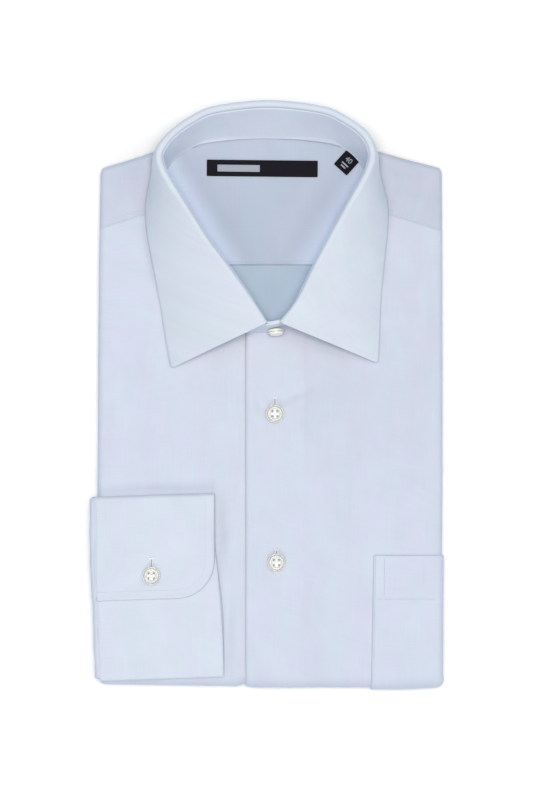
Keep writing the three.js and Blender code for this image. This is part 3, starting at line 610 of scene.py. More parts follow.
# Materials
class Look:
    """A material in the making. Each of its nodes gives back one output, to feed the next."""

    def __init__(self, name):
        self.material = bpy.data.materials.new(name)
        self.material.use_nodes = True
        self.tree = self.material.node_tree

    def feed(self, node, inputs):
        for key, value in inputs.items():
            if isinstance(value, bpy.types.NodeSocket):
                self.tree.links.new(value, node.inputs[key])
            else:
                node.inputs[key].default_value = value

    def node(self, kind, inputs, output=0, **settings):
        node = self.tree.nodes.new("ShaderNode" + kind)
        for key, value in settings.items():
            setattr(node, key, value)
        self.feed(node, inputs)
        return node.outputs[output]

    def maths(self, operation, a, b):
        return self.node("Math", {0: a, 1: b}, operation=operation)

    def spread(self, value, low, high):
        return self.node("MapRange", {"Value": value, "From Min": low, "From Max": high}, "Result")

    def ramp(self, value, low, high, start, end):
        """Eases from start to end between two places in millimetres."""
        inputs = {"Value": value, "From Min": low * MM, "From Max": high * MM, "To Min": start, "To Max": end}
        return self.node("MapRange", inputs, "Result", interpolation_type="SMOOTHSTEP")

    def mix(self, share, start, end, **settings):
        """A colour between two others."""
        start, end = ((*c, 1) if isinstance(c, (tuple, list)) else c for c in (start, end))
        return self.node("Mix", {0: share, 6: start, 7: end}, 2, data_type="RGBA", **settings)

    def streaks(self, uv, across, along, detail=2.0):
        scaled = self.node("Mapping", {"Scale": (across, along, 1.0), "Vector": uv}, "Vector")
        return self.node("TexNoise", {"Scale": 1.0, "Detail": detail, "Vector": scaled}, "Fac")

    def relief(self, height, strength, distance):
        inputs = {"Strength": strength, "Distance": distance, "Height": height}
        return self.node("Bump", inputs, "Normal")

    def position(self):
        split = self.node("SeparateXYZ", {0: self.node("TexCoord", {}, "Object")}).node
        return split.outputs["X"], split.outputs["Y"]

    def surface(self, inputs):
        self.feed(self.tree.nodes["Principled BSDF"], inputs)
        return self.material


def painted_neck_light(look, gain):
    """Painted light: the cloth in the neck is made a little lighter towards the collar at its sides, to lift the shade
    there.
    """
    x, y = look.position()
    across = look.maths("ABSOLUTE", x, 0.0)
    beside = look.maths("SUBTRACT", across, look.maths("MULTIPLY", y, 0.645))
    return look.ramp(beside, -46, -17, 1.0, gain)


def placket_edge_and_painted_shade(look, gain):
    """Past the placket's inner edge the cloth is a little darker, most of all towards the top: partly the one layer of
    cloth there, partly painted shade.
    """
    x, y = look.position()
    past = look.ramp(x, 22.9, 23.9, 0.0, 1.0)
    share = look.ramp(y, -75, -5, 0.2 * (gain - 1), gain - 1)
    return look.maths("ADD", look.maths("MULTIPLY", past, share), 1.0)


CONTRAST = 0.036
THREADS = {"Scale": 0.62, "Distortion": 0.6, "Detail": 1.0}


def shirting(name, tone, shade=None, gain=1.0):
    """Fine plain-woven cotton: slubby warp and weft threads, a soft mottle and a thread relief."""
    light, dark = ([channel * (1 + sign * CONTRAST) for channel in tone] for sign in (1, -1))
    look = Look(name)
    uv = look.node("UVMap", {}, "UV", uv_map="cloth")
    slubs = look.maths("ADD", look.streaks(uv, 1.5, 0.03), look.streaks(uv, 0.03, 1.5))
    mottle = look.maths("MULTIPLY", look.streaks(uv, 0.05, 0.04, 3.0), 0.46)
    blend = look.maths("ADD", look.maths("MULTIPLY", slubs, 0.27), mottle)
    weave = look.mix(look.spread(blend, 0.36, 0.64), dark, light)
    patches = look.spread(look.streaks(uv, 0.06, 0.022), 0.38, 0.62)
    tint = look.mix(patches, (0.975, 1.0, 0.995), (1.0, 0.975, 1.0))
    colour = look.mix(1.0, weave, tint, blend_type="MULTIPLY")
    scale = shade(look, gain) if shade else gain
    threads = [look.node("TexWave", {**THREADS, "Vector": uv}, "Fac", bands_direction=way) for way in "XY"]
    height = look.maths("ADD", look.maths("MULTIPLY", *threads), look.maths("MULTIPLY", blend, 1.2))
    return look.surface({
        "Base Color": look.node("VectorMath", {0: colour, "Scale": scale}, operation="SCALE"),
        "Normal": look.relief(height, 0.35, 0.00006), "Roughness": 0.82, "Specular IOR Level": 0.25,
        "Sheen Weight": 0.25, "Sheen Roughness": 0.45})


def plain(name, light, dark, roughness, scale=0.9, depth=0.00004, coat=0.0, gloss=0.5):
    """A small hard or threadlike piece: two close tones in object space and a fine relief."""
    look = Look(name)
    where = look.node("TexCoord", {}, "Object")
    noise = look.node("TexNoise", {"Scale": 1000 * scale, "Detail": 3.0, "Vector": where}, "Fac")
    return look.surface({
        "Base Color": look.mix(noise, dark, light), "Normal": look.relief(noise, 0.4, depth),
        "Roughness": roughness, "Specular IOR Level": gloss, "Coat Weight": coat, "Coat Roughness": 0.12})


BODY = shirting("shirting_body", (0.570, 0.612, 0.703))
# Partly painted shade: the front is darker past the placket's inner edge, most towards the top.
FRONT_CLOTH = shirting("shirting_front", (0.570, 0.612, 0.703), placket_edge_and_painted_shade, 0.955)
COLLAR_CLOTH = shirting("shirting_collar", (0.610, 0.658, 0.722))
# Painted light: the band's cloth is made lighter than the rest, to lift the shade on its inner face in the neck.
LIT_BAND_CLOTH = shirting("shirting_band", (0.676, 0.722, 0.804))
# Painted shade: the yoke is the body's cloth made darker, for the shoulders that slope away from the light, and darker
# still past x = 24 mm on the wearer's left.
SHADED_YOKE_CLOTH = shirting("shirting_yoke", (0.527, 0.563, 0.654), placket_edge_and_painted_shade, 0.93)
# Painted shade: the back seen in the neck is the body's cloth made darker, for the shade inside the neck, with painted
# light towards the collar's sides.
SHADED_BACK_CLOTH = shirting("shirting_back", (0.402, 0.491, 0.588), painted_neck_light, 1.14)
CUFF_SHIRTING = shirting("shirting_cuff", (0.595, 0.640, 0.719))
# Painted shade: the lining seen in the neck is the body's cloth made darker, for the shade inside the neck, with
# painted light towards the collar's sides.
SHADED_LINING = shirting("shirting_inside", (0.417, 0.474, 0.566), painted_neck_light, 1.58)
THREAD = plain("sewing_thread", (0.68, 0.73, 0.80), (0.58, 0.64, 0.73), 0.7)
# Painted shade: the sewing thread made darker for the stitches in the neck's shade.
SHADED_LINING_THREAD = plain("inside_thread", (0.52, 0.58, 0.68), (0.46, 0.52, 0.62), 0.7)
PALE_THREAD = plain("button_thread", (0.88, 0.90, 0.93), (0.76, 0.80, 0.86), 0.7)
# Painted shade: a thin dark thread stands for the shade in a buttonhole's cut.
SLIT_SHADE = plain("buttonhole_slit", (0.27, 0.32, 0.42), (0.20, 0.24, 0.34), 0.9)
SHINE = dict(scale=0.22, depth=0.00003)
PEARL = plain("pearly_button", (0.78, 0.765, 0.72), (0.63, 0.625, 0.59), 0.24, coat=0.6, **SHINE)
# Painted light: a brighter copy of the pearl for the standing collar button, whose face turns away from the overhead
# lamp.
LIT_PEARL = plain("pale_pearly_button", (0.97, 0.955, 0.88), (0.86, 0.85, 0.79), 0.3, coat=0.5, **SHINE)
# Painted shade: a darker pearl for the faces in the buttons' groove and round their outer rim.
PEARL_GROOVE_SHADE = plain("pearly_groove", (0.44, 0.44, 0.40), (0.33, 0.33, 0.30), 0.3, coat=0.4, **SHINE)
TAPE = dict(scale=1.6, depth=0.00008)
BLACK_WEAVE = plain("label_weave", (0.013, 0.013, 0.017), (0.006, 0.006, 0.009), 0.9, gloss=0.08, **TAPE)
GREY_WEAVE = plain("label_bar_weave", (0.36, 0.39, 0.45), (0.27, 0.30, 0.35), 0.75, gloss=0.2, **TAPE)


def dress(obj, material, slot="shirting", nodes=()):
    """Gives a piece its material, its body and the solids that it stands for."""
    if nodes:
        obj.name = nodes[0] + "_made"
    if material:
        obj.data.materials.clear()
        obj.data.materials.append(material)
    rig.ride(obj, "root")
    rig.slot(obj, slot)
    if nodes:
        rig.replaces(obj, *nodes)
    return obj


def piece(name, grid, material, outer=0.6, inner=0.4, slot="shirting", **shape):
    """A shell of cloth that stands for the solid of its name."""
    return dress(shell(name, grid, outer, inner, **shape), material, slot, [name])


# Fronts: from the slanted yoke seam down, round the bottom fold and up the underside
def side_rise(level, arc):
    """Heights in the stack's outer cloth: so many level places, then the side fold's round."""
    return np.concatenate([np.full(level, STACK - CLOTH / 2), STACK / 2 + ROLL * np.cos(arc)])


def side_fold(side, inner, edge, shares):
    """A row of the stack's outer cloth, out to its side fold, round it and under."""
    centre = edge - side * (ROLL + CLOTH / 2)
    arc = math.pi * np.arange(13) / 12
    tucked = np.array([0.3, 0.65, 1.0])
    x = np.concatenate([inner + (centre - inner) * shares, centre + side * ROLL * np.sin(arc),
                        centre - side * TUCK * tucked])
    return x, np.concatenate([side_rise(len(shares), arc), np.full(len(tucked), CLOTH / 2)])


FRONT_COLUMNS = 56
BEND_ROWS = 18


def front_grid(side):
    underlap = side < 0
    shares = np.linspace(0, 1, FRONT_COLUMNS + 1)[:-1]
    rows = []

    def row(y, inner, slope=0, edge_y=None, flare=0):
        edge = float(side_x(side, y if edge_y is None else edge_y)) + side * flare
        x, rise = side_fold(side, inner, edge, shares)
        if underlap:
            rise = rise - UNDER_CLOTH * smooth(x, PLACKET_EDGE - 6.9, PLACKET_EDGE - 1)
        fall = slope * np.minimum(np.abs(x - inner), np.abs(edge - inner))
        rows.append(fold(x, -(y - fall), rise))

    for share in np.arange(31) / 30:
        neck = neck_edge(side, NECK_AT_YOKE * (1 - share))
        gap = 0 if share else SEAM / 2
        row(neck[1] - gap, neck[0], YOKE_SLOPE * (1 - share) ** 1.2)
    inner = UNDERLAP_EDGE if underlap else PLACKET_EDGE
    for y in np.arange(NECK_FRONT, BEND_Y, -2.4):
        row(y, inner)
    for j in range(BEND_ROWS + 1):
        flare = CORNER_FLARE[side] * math.sin(math.pi * j / BEND_ROWS) ** 2
        row(BEND_Y - BEND * j / BEND_ROWS, inner, 0, BEND_Y, flare)
    for y in np.linspace(BEND_Y, TAIL_END, 24)[1:]:
        row(2 * BEND_Y - BEND - y, inner, 0, y)
    return np.array(rows)


front_right = piece("front_right", front_grid(-1), BODY)
front_left = piece("front_left", front_grid(1), FRONT_CLOTH, side=-1)


# Outer yoke
def mitre(before, here, after):
    """The way out at a corner of an edge line, longer where the corner is sharp."""
    ways = []
    for a, b in ((before, here), (here, after)):
        if np.linalg.norm(b - a) > 0:
            ways.append(np.array([a[1] - b[1], b[0] - a[0]]) / np.linalg.norm(b - a))
    return ways[0] if len(ways) < 2 else (ways[0] + ways[1]) / (1 + ways[0] @ ways[1])


def between(rows, steps=5):
    """Each row and evenly spaced rows between it and the next."""
    places = np.linspace(0, len(rows) - 1, steps * (len(rows) - 1) + 1)
    k = np.minimum(places.astype(int), len(rows) - 2)
    w = (places - k)[:, None]
    return rows[k] * (1 - w) + rows[k + 1] * w


def yoke_grid():
    corners = [(-1, s) for s in EDGE_STATIONS] + [(1, s) for s in EDGE_STATIONS[-2::-1]]
    edge = np.array([top_edge_point(*corner) for corner in corners])
    padded = np.concatenate([edge[:1], edge, edge[-1:]])
    out = np.array([mitre(*padded[k:k + 3]) for k in range(len(edge))])
    t = between(np.array([[float(line_t(*corner))] for corner in corners]))[:, 0]
    lines = between(np.concatenate([edge, out], 1))
    lines[1:-1] = (lines[:-2] + 2 * lines[1:-1] + lines[2:]) / 4
    necks = SEAM_LINE.at(t) - 0.9 * SEAM_LINE.out(t)
    shares = np.linspace(0, 1, 13)[:-1]
    arc = np.linspace(0, math.pi, 13)
    rise = side_rise(len(shares), arc)
    rows = []
    for k, neck in enumerate(necks):
        if k in (0, len(necks) - 1):
            x = side_fold(-1 if k == 0 else 1, neck[0], lines[k][0], shares)[0][:-3]
            y = neck[1] + SEAM / 2 - YOKE_SLOPE * np.abs(x - neck[0])
        else:
            out = lines[k, 2:]
            centre = lines[k, :2] - out * (ROLL + CLOTH / 2)
            x, y = (np.concatenate([lerp(a, b, shares), b + way * ROLL * np.sin(arc)])
                    for a, b, way in zip(neck, centre, out))
        rows.append(fold(x, -y, rise))
    return np.array(rows)


yoke_outer = piece("yoke_outer", yoke_grid(), SHADED_YOKE_CLOTH)


# Inside of the back, seen through the neck
def inside_grid(left, right, top, bottom, depth, columns):
    x = np.linspace(left, right, columns)
    rows = []
    count = int((float(np.max(top(x))) - bottom) / 1.6)
    for j in range(count + 1):
        y = lerp(top(x), bottom, j / count)
        rows.append(inside(x, y, depth + CLOTH / 2))
    return np.array(rows)


INNER_WALL = dict(inner=0.3, side=-1)
yoke_inner = piece("yoke_inner", inside_grid(-66, 66, lambda x: top_edge_y(x) - 3.8, YOKE_BOTTOM, 0, 70),
                   SHADED_LINING, **INNER_WALL)
back = piece("back", inside_grid(-42, 46, lambda x: 0 * x + YOKE_BOTTOM + 7, 32, UNDER_CLOTH, 50),
             SHADED_BACK_CLOTH, **INNER_WALL)


# Hidden layers
def core_top(x, y, on_top):
    groove = UNDER_CLOTH * in_band(x, -18, 11, 7)
    yoke = UNDER_CLOTH * in_band(x, -72, 72, 10) * smooth(y, 14, 26) if on_top else 0
    behind = UNDER_CLOTH * in_band(x, -50, 54, 10) * in_band(y, 26, 92, 10) if on_top else 0
    drop = np.maximum(groove, yoke + behind + (sag(x, y) if on_top else 0))
    return STACK - UNDER_CLOTH - 0.5 - drop


CORE_X = np.array([-76, -58, -44, -30, -19, -12, 0, 10, 19, 32, 46, 60, 78], float)
CORE_Y = [160, 154, 148, 141, 132, 120, 108, 96, 88, 80, 70, 58, 44, 34, 26, 16, 2, -18, -40, -62, -84, -101,
          -120, -140, -158, BEND_Y]


def core_ring(y, down, on_top, edge_y):
    """One closed ring round the hidden layers: over the top, the right side, under and the left side."""
    rounding = STACK / 2 - UNDER_CLOTH
    right, left = (float(side_x(s, min(max(edge_y, BOTTOM), 164))) - s * (ROLL + CLOTH / 2) for s in (1, -1))
    arc = math.pi * np.arange(9) / 8
    turn_right, turn_left = math.pi / 2 - arc, -math.pi / 2 - arc
    x = np.concatenate([CORE_X, right + rounding * np.cos(turn_right), [right - 17, right - 21, left + 21],
                        [left + 17], left + rounding * np.cos(turn_left)])
    rise = np.concatenate([core_top(CORE_X, y, on_top), STACK / 2 + rounding * np.sin(turn_right),
                           [UNDER_CLOTH, 0.2, 0.2, UNDER_CLOTH], STACK / 2 + rounding * np.sin(turn_left)])
    inset = np.maximum(0, y + 7.5 - top_edge_y(x)) if on_top else 0
    return fold(x, down + inset, rise, 1.0)


rings = [core_ring(y, -y, True, min(y, 138)) for y in CORE_Y]
rings += [core_ring(BEND_Y, -BEND_Y + BEND * j / 14, False, BEND_Y) for j in range(1, 15)]
rings += [core_ring(y, -BEND_Y + BEND + y - BEND_Y, False, y) for y in (-128, -60, 30, TAIL_END - 11)]
verts = np.concatenate(rings + [rings[0].mean(0, keepdims=True), rings[-1].mean(0, keepdims=True)])
faces = ring_faces(len(rings), len(rings[0]))
dress(make_mesh("folded_layers", verts, faces, verts[:, :2]), BODY, nodes=["folded_layers"])

# The ends of the inner layers, staggered at the tail, and the sleeves' four plies at each side
plies = []


def ply(name, x_ends, y_ends, z, wave, seed, flat):
    """A flat layer with a wavy end. Its cut is kept for the list of sheets."""
    x = np.linspace(*x_ends, 44)
    phase = np.random.default_rng(seed).uniform(0, 6, 3)
    end = wave * (0.5 * np.sin(x / 17 + phase[0]) + 0.3 * np.sin(x / 7.5 + phase[1]))
    rows = []
    for share in np.linspace(0, 1, 40):
        y = lerp(*y_ends, share)
        squeeze = 0.25 * wave * math.sin(y / 13 + phase[2])
        px = x + squeeze * np.sign(x) * smooth(np.abs(x), 70, 100)
        py = np.full_like(x, y) + end * smooth(share, 0.9, 1.0)
        rows.append(np.stack([px, py, np.full_like(x, z)], -1))
    plies.append((dress(shell(name, np.array(rows), 0.22, 0.22), BODY), flat))


LAYERS_LEFT, LAYERS_RIGHT = SIDES_LEFT[0], SIDES_RIGHT[0]
for k, z in enumerate((1.75, 2.55, 3.35, 4.15, 4.95, 5.75)):
    tail = (60, TAIL_END - 3 - 1.3 * ((k * 2) % 5))
    ply(f"tail_layer_{k + 1}", (LAYERS_LEFT + 6.0, LAYERS_RIGHT - 6.0), tail, z, 0.8, 20 + k, (0.207, 0.074))
for k, share in enumerate((-0.75, -0.25, 0.25, 0.75)):
    z = MID + share * 2 * (SLEEVES / 2 - 0.5) * 0.66
    right = LAYERS_RIGHT - (1.4 + 0.8 * (k % 2))
    ply(f"sleeve_ply_{k + 1}", (LAYERS_LEFT + 1.6, right), (-63, 138 - 2.4 * (k % 3)), z, 1.0, 40 + k,
        (0.209, 0.199))
    ply(f"sleeve_end_{k + 1}", (-92, right - 0.4), (-175.6, -62), z, 0.8, 60 + k, (0.20, 0.115))


# Collar band. Its ends lap past the neck seam: x from the centre front, y of the seam, y and z of the top
BAND_OUTER_END = [
    (0.6, 39.6, 43.9, 45.6), (-2, 39.2, 43.3, 45), (-4, 39.1, 43.1, 44.7), (-6, 39, 42.9, 44.2),
    (-8, 38.9, 42.6, 43.4), (-11, 38.8, 41.9, 41.8), (-14, 38.7, 41.1, 40), (-16, 38.7, 40.6, 38.6),
    (-17.5, 38.7, 40.2, 36.4), (-18.2, 38.7, 39.8, 33.6)]
BAND_INNER_END = [
    (-3.4, 41.8, 46.1, 45.2), (-1.4, 41.6, 45.2, 45.6), (1, 41.4, 44.65, 45.8), (3.4, 41.3, 44.3, 45.9)]


def band_grid():
    def ends(rows, side, low):
        points = []
        for x, low_y, high_y, high_z in rows:
            x = side * x + CENTRE_FRONT
            y = low_y if low else high_y
            points.append([x, y, float(top_at(x, y, 0)) + SEAM + 0.1 if low else high_z])
        return points

    def full(middle, low):
        return np.concatenate([ends(BAND_INNER_END, -1, low), middle, ends(BAND_OUTER_END, 1, low)])

    t = np.linspace(0, 1, 201)
    low = full(SEAM_LINE.at(t), True)
    ledge = 0.6 * in_band(t, 0.06, 0.94, 0.04)[:, None]
    high = full(ROLL_LINE.at(t) - ledge * ROLL_LINE.out(t), False) - BAND_UNDER_ROLL * UP
    inward = unit(np.cross(np.gradient(low, axis=0), UP))
    allowance = [low + inward * over - UP * under for over, under in ((0.7, 2.3), (0.65, 1.2), (0.4, 0.3))]
    return np.array(allowance + [lerp(low, high, s) for s in np.linspace(0, 1, 24)])


collar_band = piece("collar_band", band_grid(), LIT_BAND_CLOTH, 0.5, 0.5)


# Collar leaf: out of the band's top edge, over the roll and down to its free edge
LEAF_T = np.concatenate([[0, 0.0006, 0.0014, 0.0026, 0.004], np.linspace(0.006, 0.994, 217),
                         [0.996, 0.9974, 0.9986, 0.9994, 1]])


def leaf_grid(roll_steps=12, fall_steps=34):
    crest, edge, out = ROLL_LINE.at(LEAF_T), EDGE_LINE.at(LEAF_T), ROLL_LINE.out(LEAF_T)
    along = lengths(edge)
    from_end = np.minimum(along, along[-1] - along)
    gone = np.clip(POINT_RADIUS - from_end, 0, POINT_RADIUS)
    cut = POINT_RADIUS - np.sqrt(POINT_RADIUS ** 2 - gone ** 2)
    edge = edge + (crest - edge) * (cut[:, None] / size_of(crest - edge))
    centre = crest + out * LEAF_ROLL
    centre[:, 2] = crest[:, 2] - LEAF_ROLL - CLOTH / 2
    root = centre - out * LEAF_ROLL
    root[:, 2] = crest[:, 2] - BAND_UNDER_ROLL + 0.6
    flat = edge - crest
    flat[:, 2] = 0
    reach = size_of(flat)[:, 0]
    toward = flat / np.maximum(reach, 1e-6)[:, None]
    facing = np.clip((toward * out).sum(-1), 0.35, 1)
    chord = np.arctan2(crest[:, 2] - 2 - edge[:, 2], np.maximum(reach - 2, 0.5))
    leave = np.clip(chord - 0.10, 0.1, 1.5)
    turn = math.pi / 2 + np.arctan(np.tan(leave) / facing)

    def heading(angle):
        return toward * np.cos(angle)[:, None] - UP * np.sin(angle)[:, None]

    rows = [root]
    for k in range(roll_steps + 1):
        angle = math.pi - turn * k / roll_steps
        away, rise = (LEAF_ROLL * f(angle)[:, None] for f in (np.cos, np.sin))
        rows.append(centre + out * away + UP * rise)
    start = rows[-1]
    span = size_of(edge - start) * 0.34
    c1 = start + heading(leave) * span
    c2 = edge - heading(np.clip(chord + 0.12, 0, 1.56)) * span
    for s in np.linspace(0, 1, fall_steps + 1)[1:] ** 0.9:
        r = 1 - s
        rows.append(r ** 3 * start + 3 * r ** 2 * s * c1 + 3 * r * s ** 2 * c2 + s ** 3 * edge)
    return np.array(rows)


def leaf_wall(p):
    """The leaf's outer thickness: the seam allowance inside raises a border along its edges."""
    from_edge = lengths(p[::-1])[::-1]
    from_front = [np.linalg.norm(p[:, :, None] - p[None, None, :, end], axis=-1).min(-1) for end in (0, -1)]
    nearest = np.minimum(from_edge, np.minimum(*from_front))
    return (0.5 + 0.35 * (1 - smooth(nearest, 4.2, 6.6)))[..., None]


leaf = leaf_grid()
collar_leaf = piece("collar_leaf", leaf, COLLAR_CLOTH, leaf_wall(leaf), 0.6, side=-1)


# Cuff and the sleeve behind it
def cuff_slope(x):
    return 0.034 * (x + 70)


def drawn_in(y):
    return 2 * smooth(-y, 104, 140) + 1.2 * smooth(-y, 150, 178)


def hand_lift(x):
    """The tube of the cuff opens a little towards the hand."""
    return 1.4 * smooth(x, CUFF["hand"] - 30, CUFF["hand"])


CUFF_LEVEL_X = -98


def cuff_bed(x, y):
    """The middle of the cuff's lowest layer, which stays level over the packet's rounded side."""
    return top_at(np.maximum(x, CUFF_LEVEL_X), y, CUFF_DETAIL) + SEAM + CUFF_CLOTH / 2


def cuff_grid():
    c = CUFF
    path = []

    def turn(centre_y, radius, a0, a1, hand):
        for a in lerp(a0, a1, np.arange(11) / 10):
            path.append((centre_y + radius * math.cos(a), radius + radius * math.sin(a), hand))

    for y in np.concatenate([np.linspace(0, 1, 12) ** 2 * 9, np.linspace(10.2, 60, 36)]):
        corner = max(c["tab_radius"] - y, 0)
        cut = c["tab_radius"] - math.sqrt(c["tab_radius"] ** 2 - corner ** 2)
        path.append((c["tab_end"] + y, 2 * c["layer"], c["hand"] - cut))
    turn(c["upper"] - c["layer"], c["layer"], math.pi / 2, -math.pi / 2, c["hand"])
    for y in np.linspace(c["upper"] - 8, c["lower"] + 6, 50):
        out = float(np.interp(-y, *zip(*CUFF_REAR)))
        path.append((y, 0, lerp(c["hand"], c["under_hand"], out)))
    turn(c["lower"] + c["layer"] / 2, c["layer"] / 2, -math.pi / 2, -1.5 * math.pi, c["under_hand"])
    for share in np.linspace(0.06, 1, 20):
        hand = lerp(c["under_hand"], c["hand"], share ** 2)
        path.append((lerp(c["lower"], c["underlap_end"], share), c["layer"], hand))
    rows = []
    for y, level, hand in path:
        x = lerp(hand, c["seam"] + drawn_in(y), np.linspace(0, 1, 48))
        sloped = y + cuff_slope(x)
        lifted = hand_lift(x) * level / (2 * c["layer"])
        z = cuff_bed(x, sloped) + level + lifted - 0.3 * smooth(-x, 100, 108)
        rows.append(np.stack([x, sloped, z], -1))
    return np.array(rows)


CUFF_WALL = 0.7
cuff_right = piece("cuff_right", cuff_grid(), CUFF_SHIRTING, CUFF_WALL, 0.6)

# The sleeve's rings from the cuff's seam round the side and in: x, z, the way out in degrees, and how
# far its lower end is drawn in. The first ones' z is from the middle of the cuff.
SLEEVE_TOP = float(top_at(CUFF_LEVEL_X, -120, 0)) + SEAM + CUFF_CLOTH / 2 + CUFF["layer"]
SLEEVE_RINGS = [(x, SLEEVE_TOP + dz, facing, low) for x, dz, facing, low in (
    (-107.2, 0.75, 96, 2), (-108.1, 0.7, 104, 2), (-108.9, 0.45, 125, 2), (-109.2, 0, 140, 2),
    (-109.35, -0.6, 155, 2), (-109.45, -1.4, 172, 2), (-109.45, -2.5, 180, 2), (-109.5, -4, 180, 2.2),
    (-109.45, -5.5, 180, 2.4))]
SLEEVE_RINGS += [
    (-109.3, 14.6, 186, 2.8), (-109, 13.2, 192, 3.4), (-108.5, 12.0, 208, 4.2), (-107.7, 11, 225, 5),
    (-106.6, 10.1, 246, 6), (-105.4, MID + 0.1, 262, 7), (-103.4, MID, 268, 8), (-101.5, MID, 270, 9)]


def sleeve_grid():
    grid = []
    for x, z, facing, low in SLEEVE_RINGS:
        ox, oz = math.cos(math.radians(facing)), math.sin(math.radians(facing))
        upper, lower = CUFF["upper"] - 0.8 + cuff_slope(x), CUFF["lower"] + low + cuff_slope(x)

        def point(y, out):
            """A place on the ring, so far out from the middle between the sleeve's two plies."""
            step_down = CUFF["layer"] * float(smooth(-y, 124, 134) * smooth(z, SLEEVE_TOP - 7, SLEEVE_TOP))
            return x + float(drawn_in(y)) + ox * out, y, z - step_down + oz * out

        ring = []
        for y in np.linspace(upper, lower, 60):
            pleat = 0.10 * math.sin(y / 2.9) + 0.14 * math.sin(y / 7.1 + 1)
            ring.append(point(y, SLEEVE_PLY + pleat))
        _, _, end_z = point(lower, 0)
        ring.append((x + float(drawn_in(lower)), lower - 0.8, end_z))
        ring += [point(y, -SLEEVE_PLY) for y in np.linspace(lower, upper, 60)]
        ring.append((x, upper + 0.8, z))
        grid.append(ring)
    return np.array(grid)


sleeve_right = piece("sleeve_right", sleeve_grid(), BODY, 0.45, 0.35, closed=True)


# Pocket
def pocket_grid():
    bend = POCKET["bend"] * BEND_RADIUS
    downs = np.concatenate([-POCKET["y"] + np.array([0, 0.7, 1.5, 2.4, 3.4]),
                            np.arange(106.5, -BEND_Y - 0.5, 2.0), -BEND_Y + np.linspace(0, bend, 16)])
    arc = POCKET["wrap"] * np.arange(11) / 10
    rise = side_rise(24, arc)
    rows = []
    for down in downs:
        flare = CORNER_FLARE[1] * math.sin(math.pi * max(down + BEND_Y, 0) / BEND) ** 2
        centre = float(side_x(1, max(-down, BOTTOM))) + flare - (ROLL + CLOTH / 2)
        inner = POCKET["x"] - POCKET["lean"] * (down + POCKET["y"])
        x = np.concatenate([lerp(inner, centre, np.arange(24) / 24), centre + ROLL * np.sin(arc)])
        rows.append(fold(x, down, rise))
    p = np.array(rows)
    p = p - grid_normals(p) * (CLOTH + SEAM - 0.15)
    p[..., 2] = np.maximum(p[..., 2], CLOTH / 2)
    return p


pocket = piece("pocket", pocket_grid(), BODY, 0.5, side=-1)


# Labels
def label_grid(d, nx, ny, raise_by=0.0, size=None, shift=(0, 0)):
    width, height = size or (d["width"], d["height"])
    across = np.linspace(-0.5, 0.5, nx + 1) * width + shift[0]
    rows = []
    for j in range(ny + 1):
        up = height * (0.5 - j / ny) + shift[1]
        px = d["x"] + across * math.cos(d["turn"]) - up * math.sin(d["turn"])
        py = d["y"] + across * math.sin(d["turn"]) + up * math.cos(d["turn"])
        p = inside(px, py)
        p[..., 2] += SEAM + d["thick"] / 2 + raise_by
        rows.append(p)
    return np.array(rows)


label_main = piece("label_main", label_grid(LABEL, 60, 12), BLACK_WEAVE, 0.3, 0.3, "label")
dress(shell("label_bar", label_grid(LABEL, 24, 6, 0.36, (26.4, 4.1), (-14.8, -0.1)), 0.12, 0.12),
      GREY_WEAVE, "label")
label_size = piece("label_size", label_grid(SIZE_TAB, 12, 12), BLACK_WEAVE, 0.3, 0.3, "label")

# Buttons: a half section out from the middle of the underside, up the rim and back over the dished top
BUTTON_SECTION = [
    (0, 0), (0.7, 0), (0.88, 0.25), (0.97, 0.8), (1, 1.2), (0.985, 1.55), (0.94, 1.8), (0.9, 1.82),
    (0.865, 1.6), (0.83, 1.5), (0.795, 1.62), (0.75, 2.05), (0.7, BUTTON["thick"]), (0.64, 2.2),
    (0.57, 1.8), (0.48, 1.5), (0.3, 1.42), (0, 1.4)]


def button_mesh(name, pearl):
    r, steps, hole_at = BUTTON["radius"], 56, BUTTON["hole_at"] * MM
    turns = [2 * math.pi * k / steps for k in range(steps)]
    verts = [(r * share * math.cos(a), r * share * math.sin(a), z)
             for share, z in BUTTON_SECTION[1:-1] for a in turns]
    verts += [(0, 0, BUTTON_SECTION[end][1]) for end in (0, -1)]
    obj = make_mesh(name, verts, ring_faces(len(BUTTON_SECTION) - 2, steps))
    for sx, sy in ((1, 1), (1, -1), (-1, 1), (-1, -1)):
        bpy.ops.mesh.primitive_cylinder_add(
            vertices=18, radius=BUTTON["hole"] * MM, depth=0.008, location=(sx * hole_at, sy * hole_at, 0))
        cutter = bpy.context.object
        cut = obj.modifiers.new("hole", "BOOLEAN")
        cut.object = cutter
        cut.solver = "EXACT"
        drilled = baked(obj)
        obj.modifiers.clear()
        obj.data = drilled
        bpy.data.objects.remove(cutter)
    mesh = obj.data
    mesh.polygons.foreach_set("use_smooth", [True] * len(mesh.polygons))
    mesh.materials.clear()
    mesh.materials.append(pearl)
    mesh.materials.append(PEARL_GROOVE_SHADE)
    # Painted shade: the groove ring and the outer rim take the darker pearl.
    for face in mesh.polygons:
        reach = face.center.xy.length / (r * MM)
        face.material_index = 1 if 0.8 < reach < 0.9 and face.center.z > 0.0012 or 0.985 < reach else 0
    return obj


def place(obj, matrix):
    obj.data.transform(matrix)
    obj.data.update()
    return obj


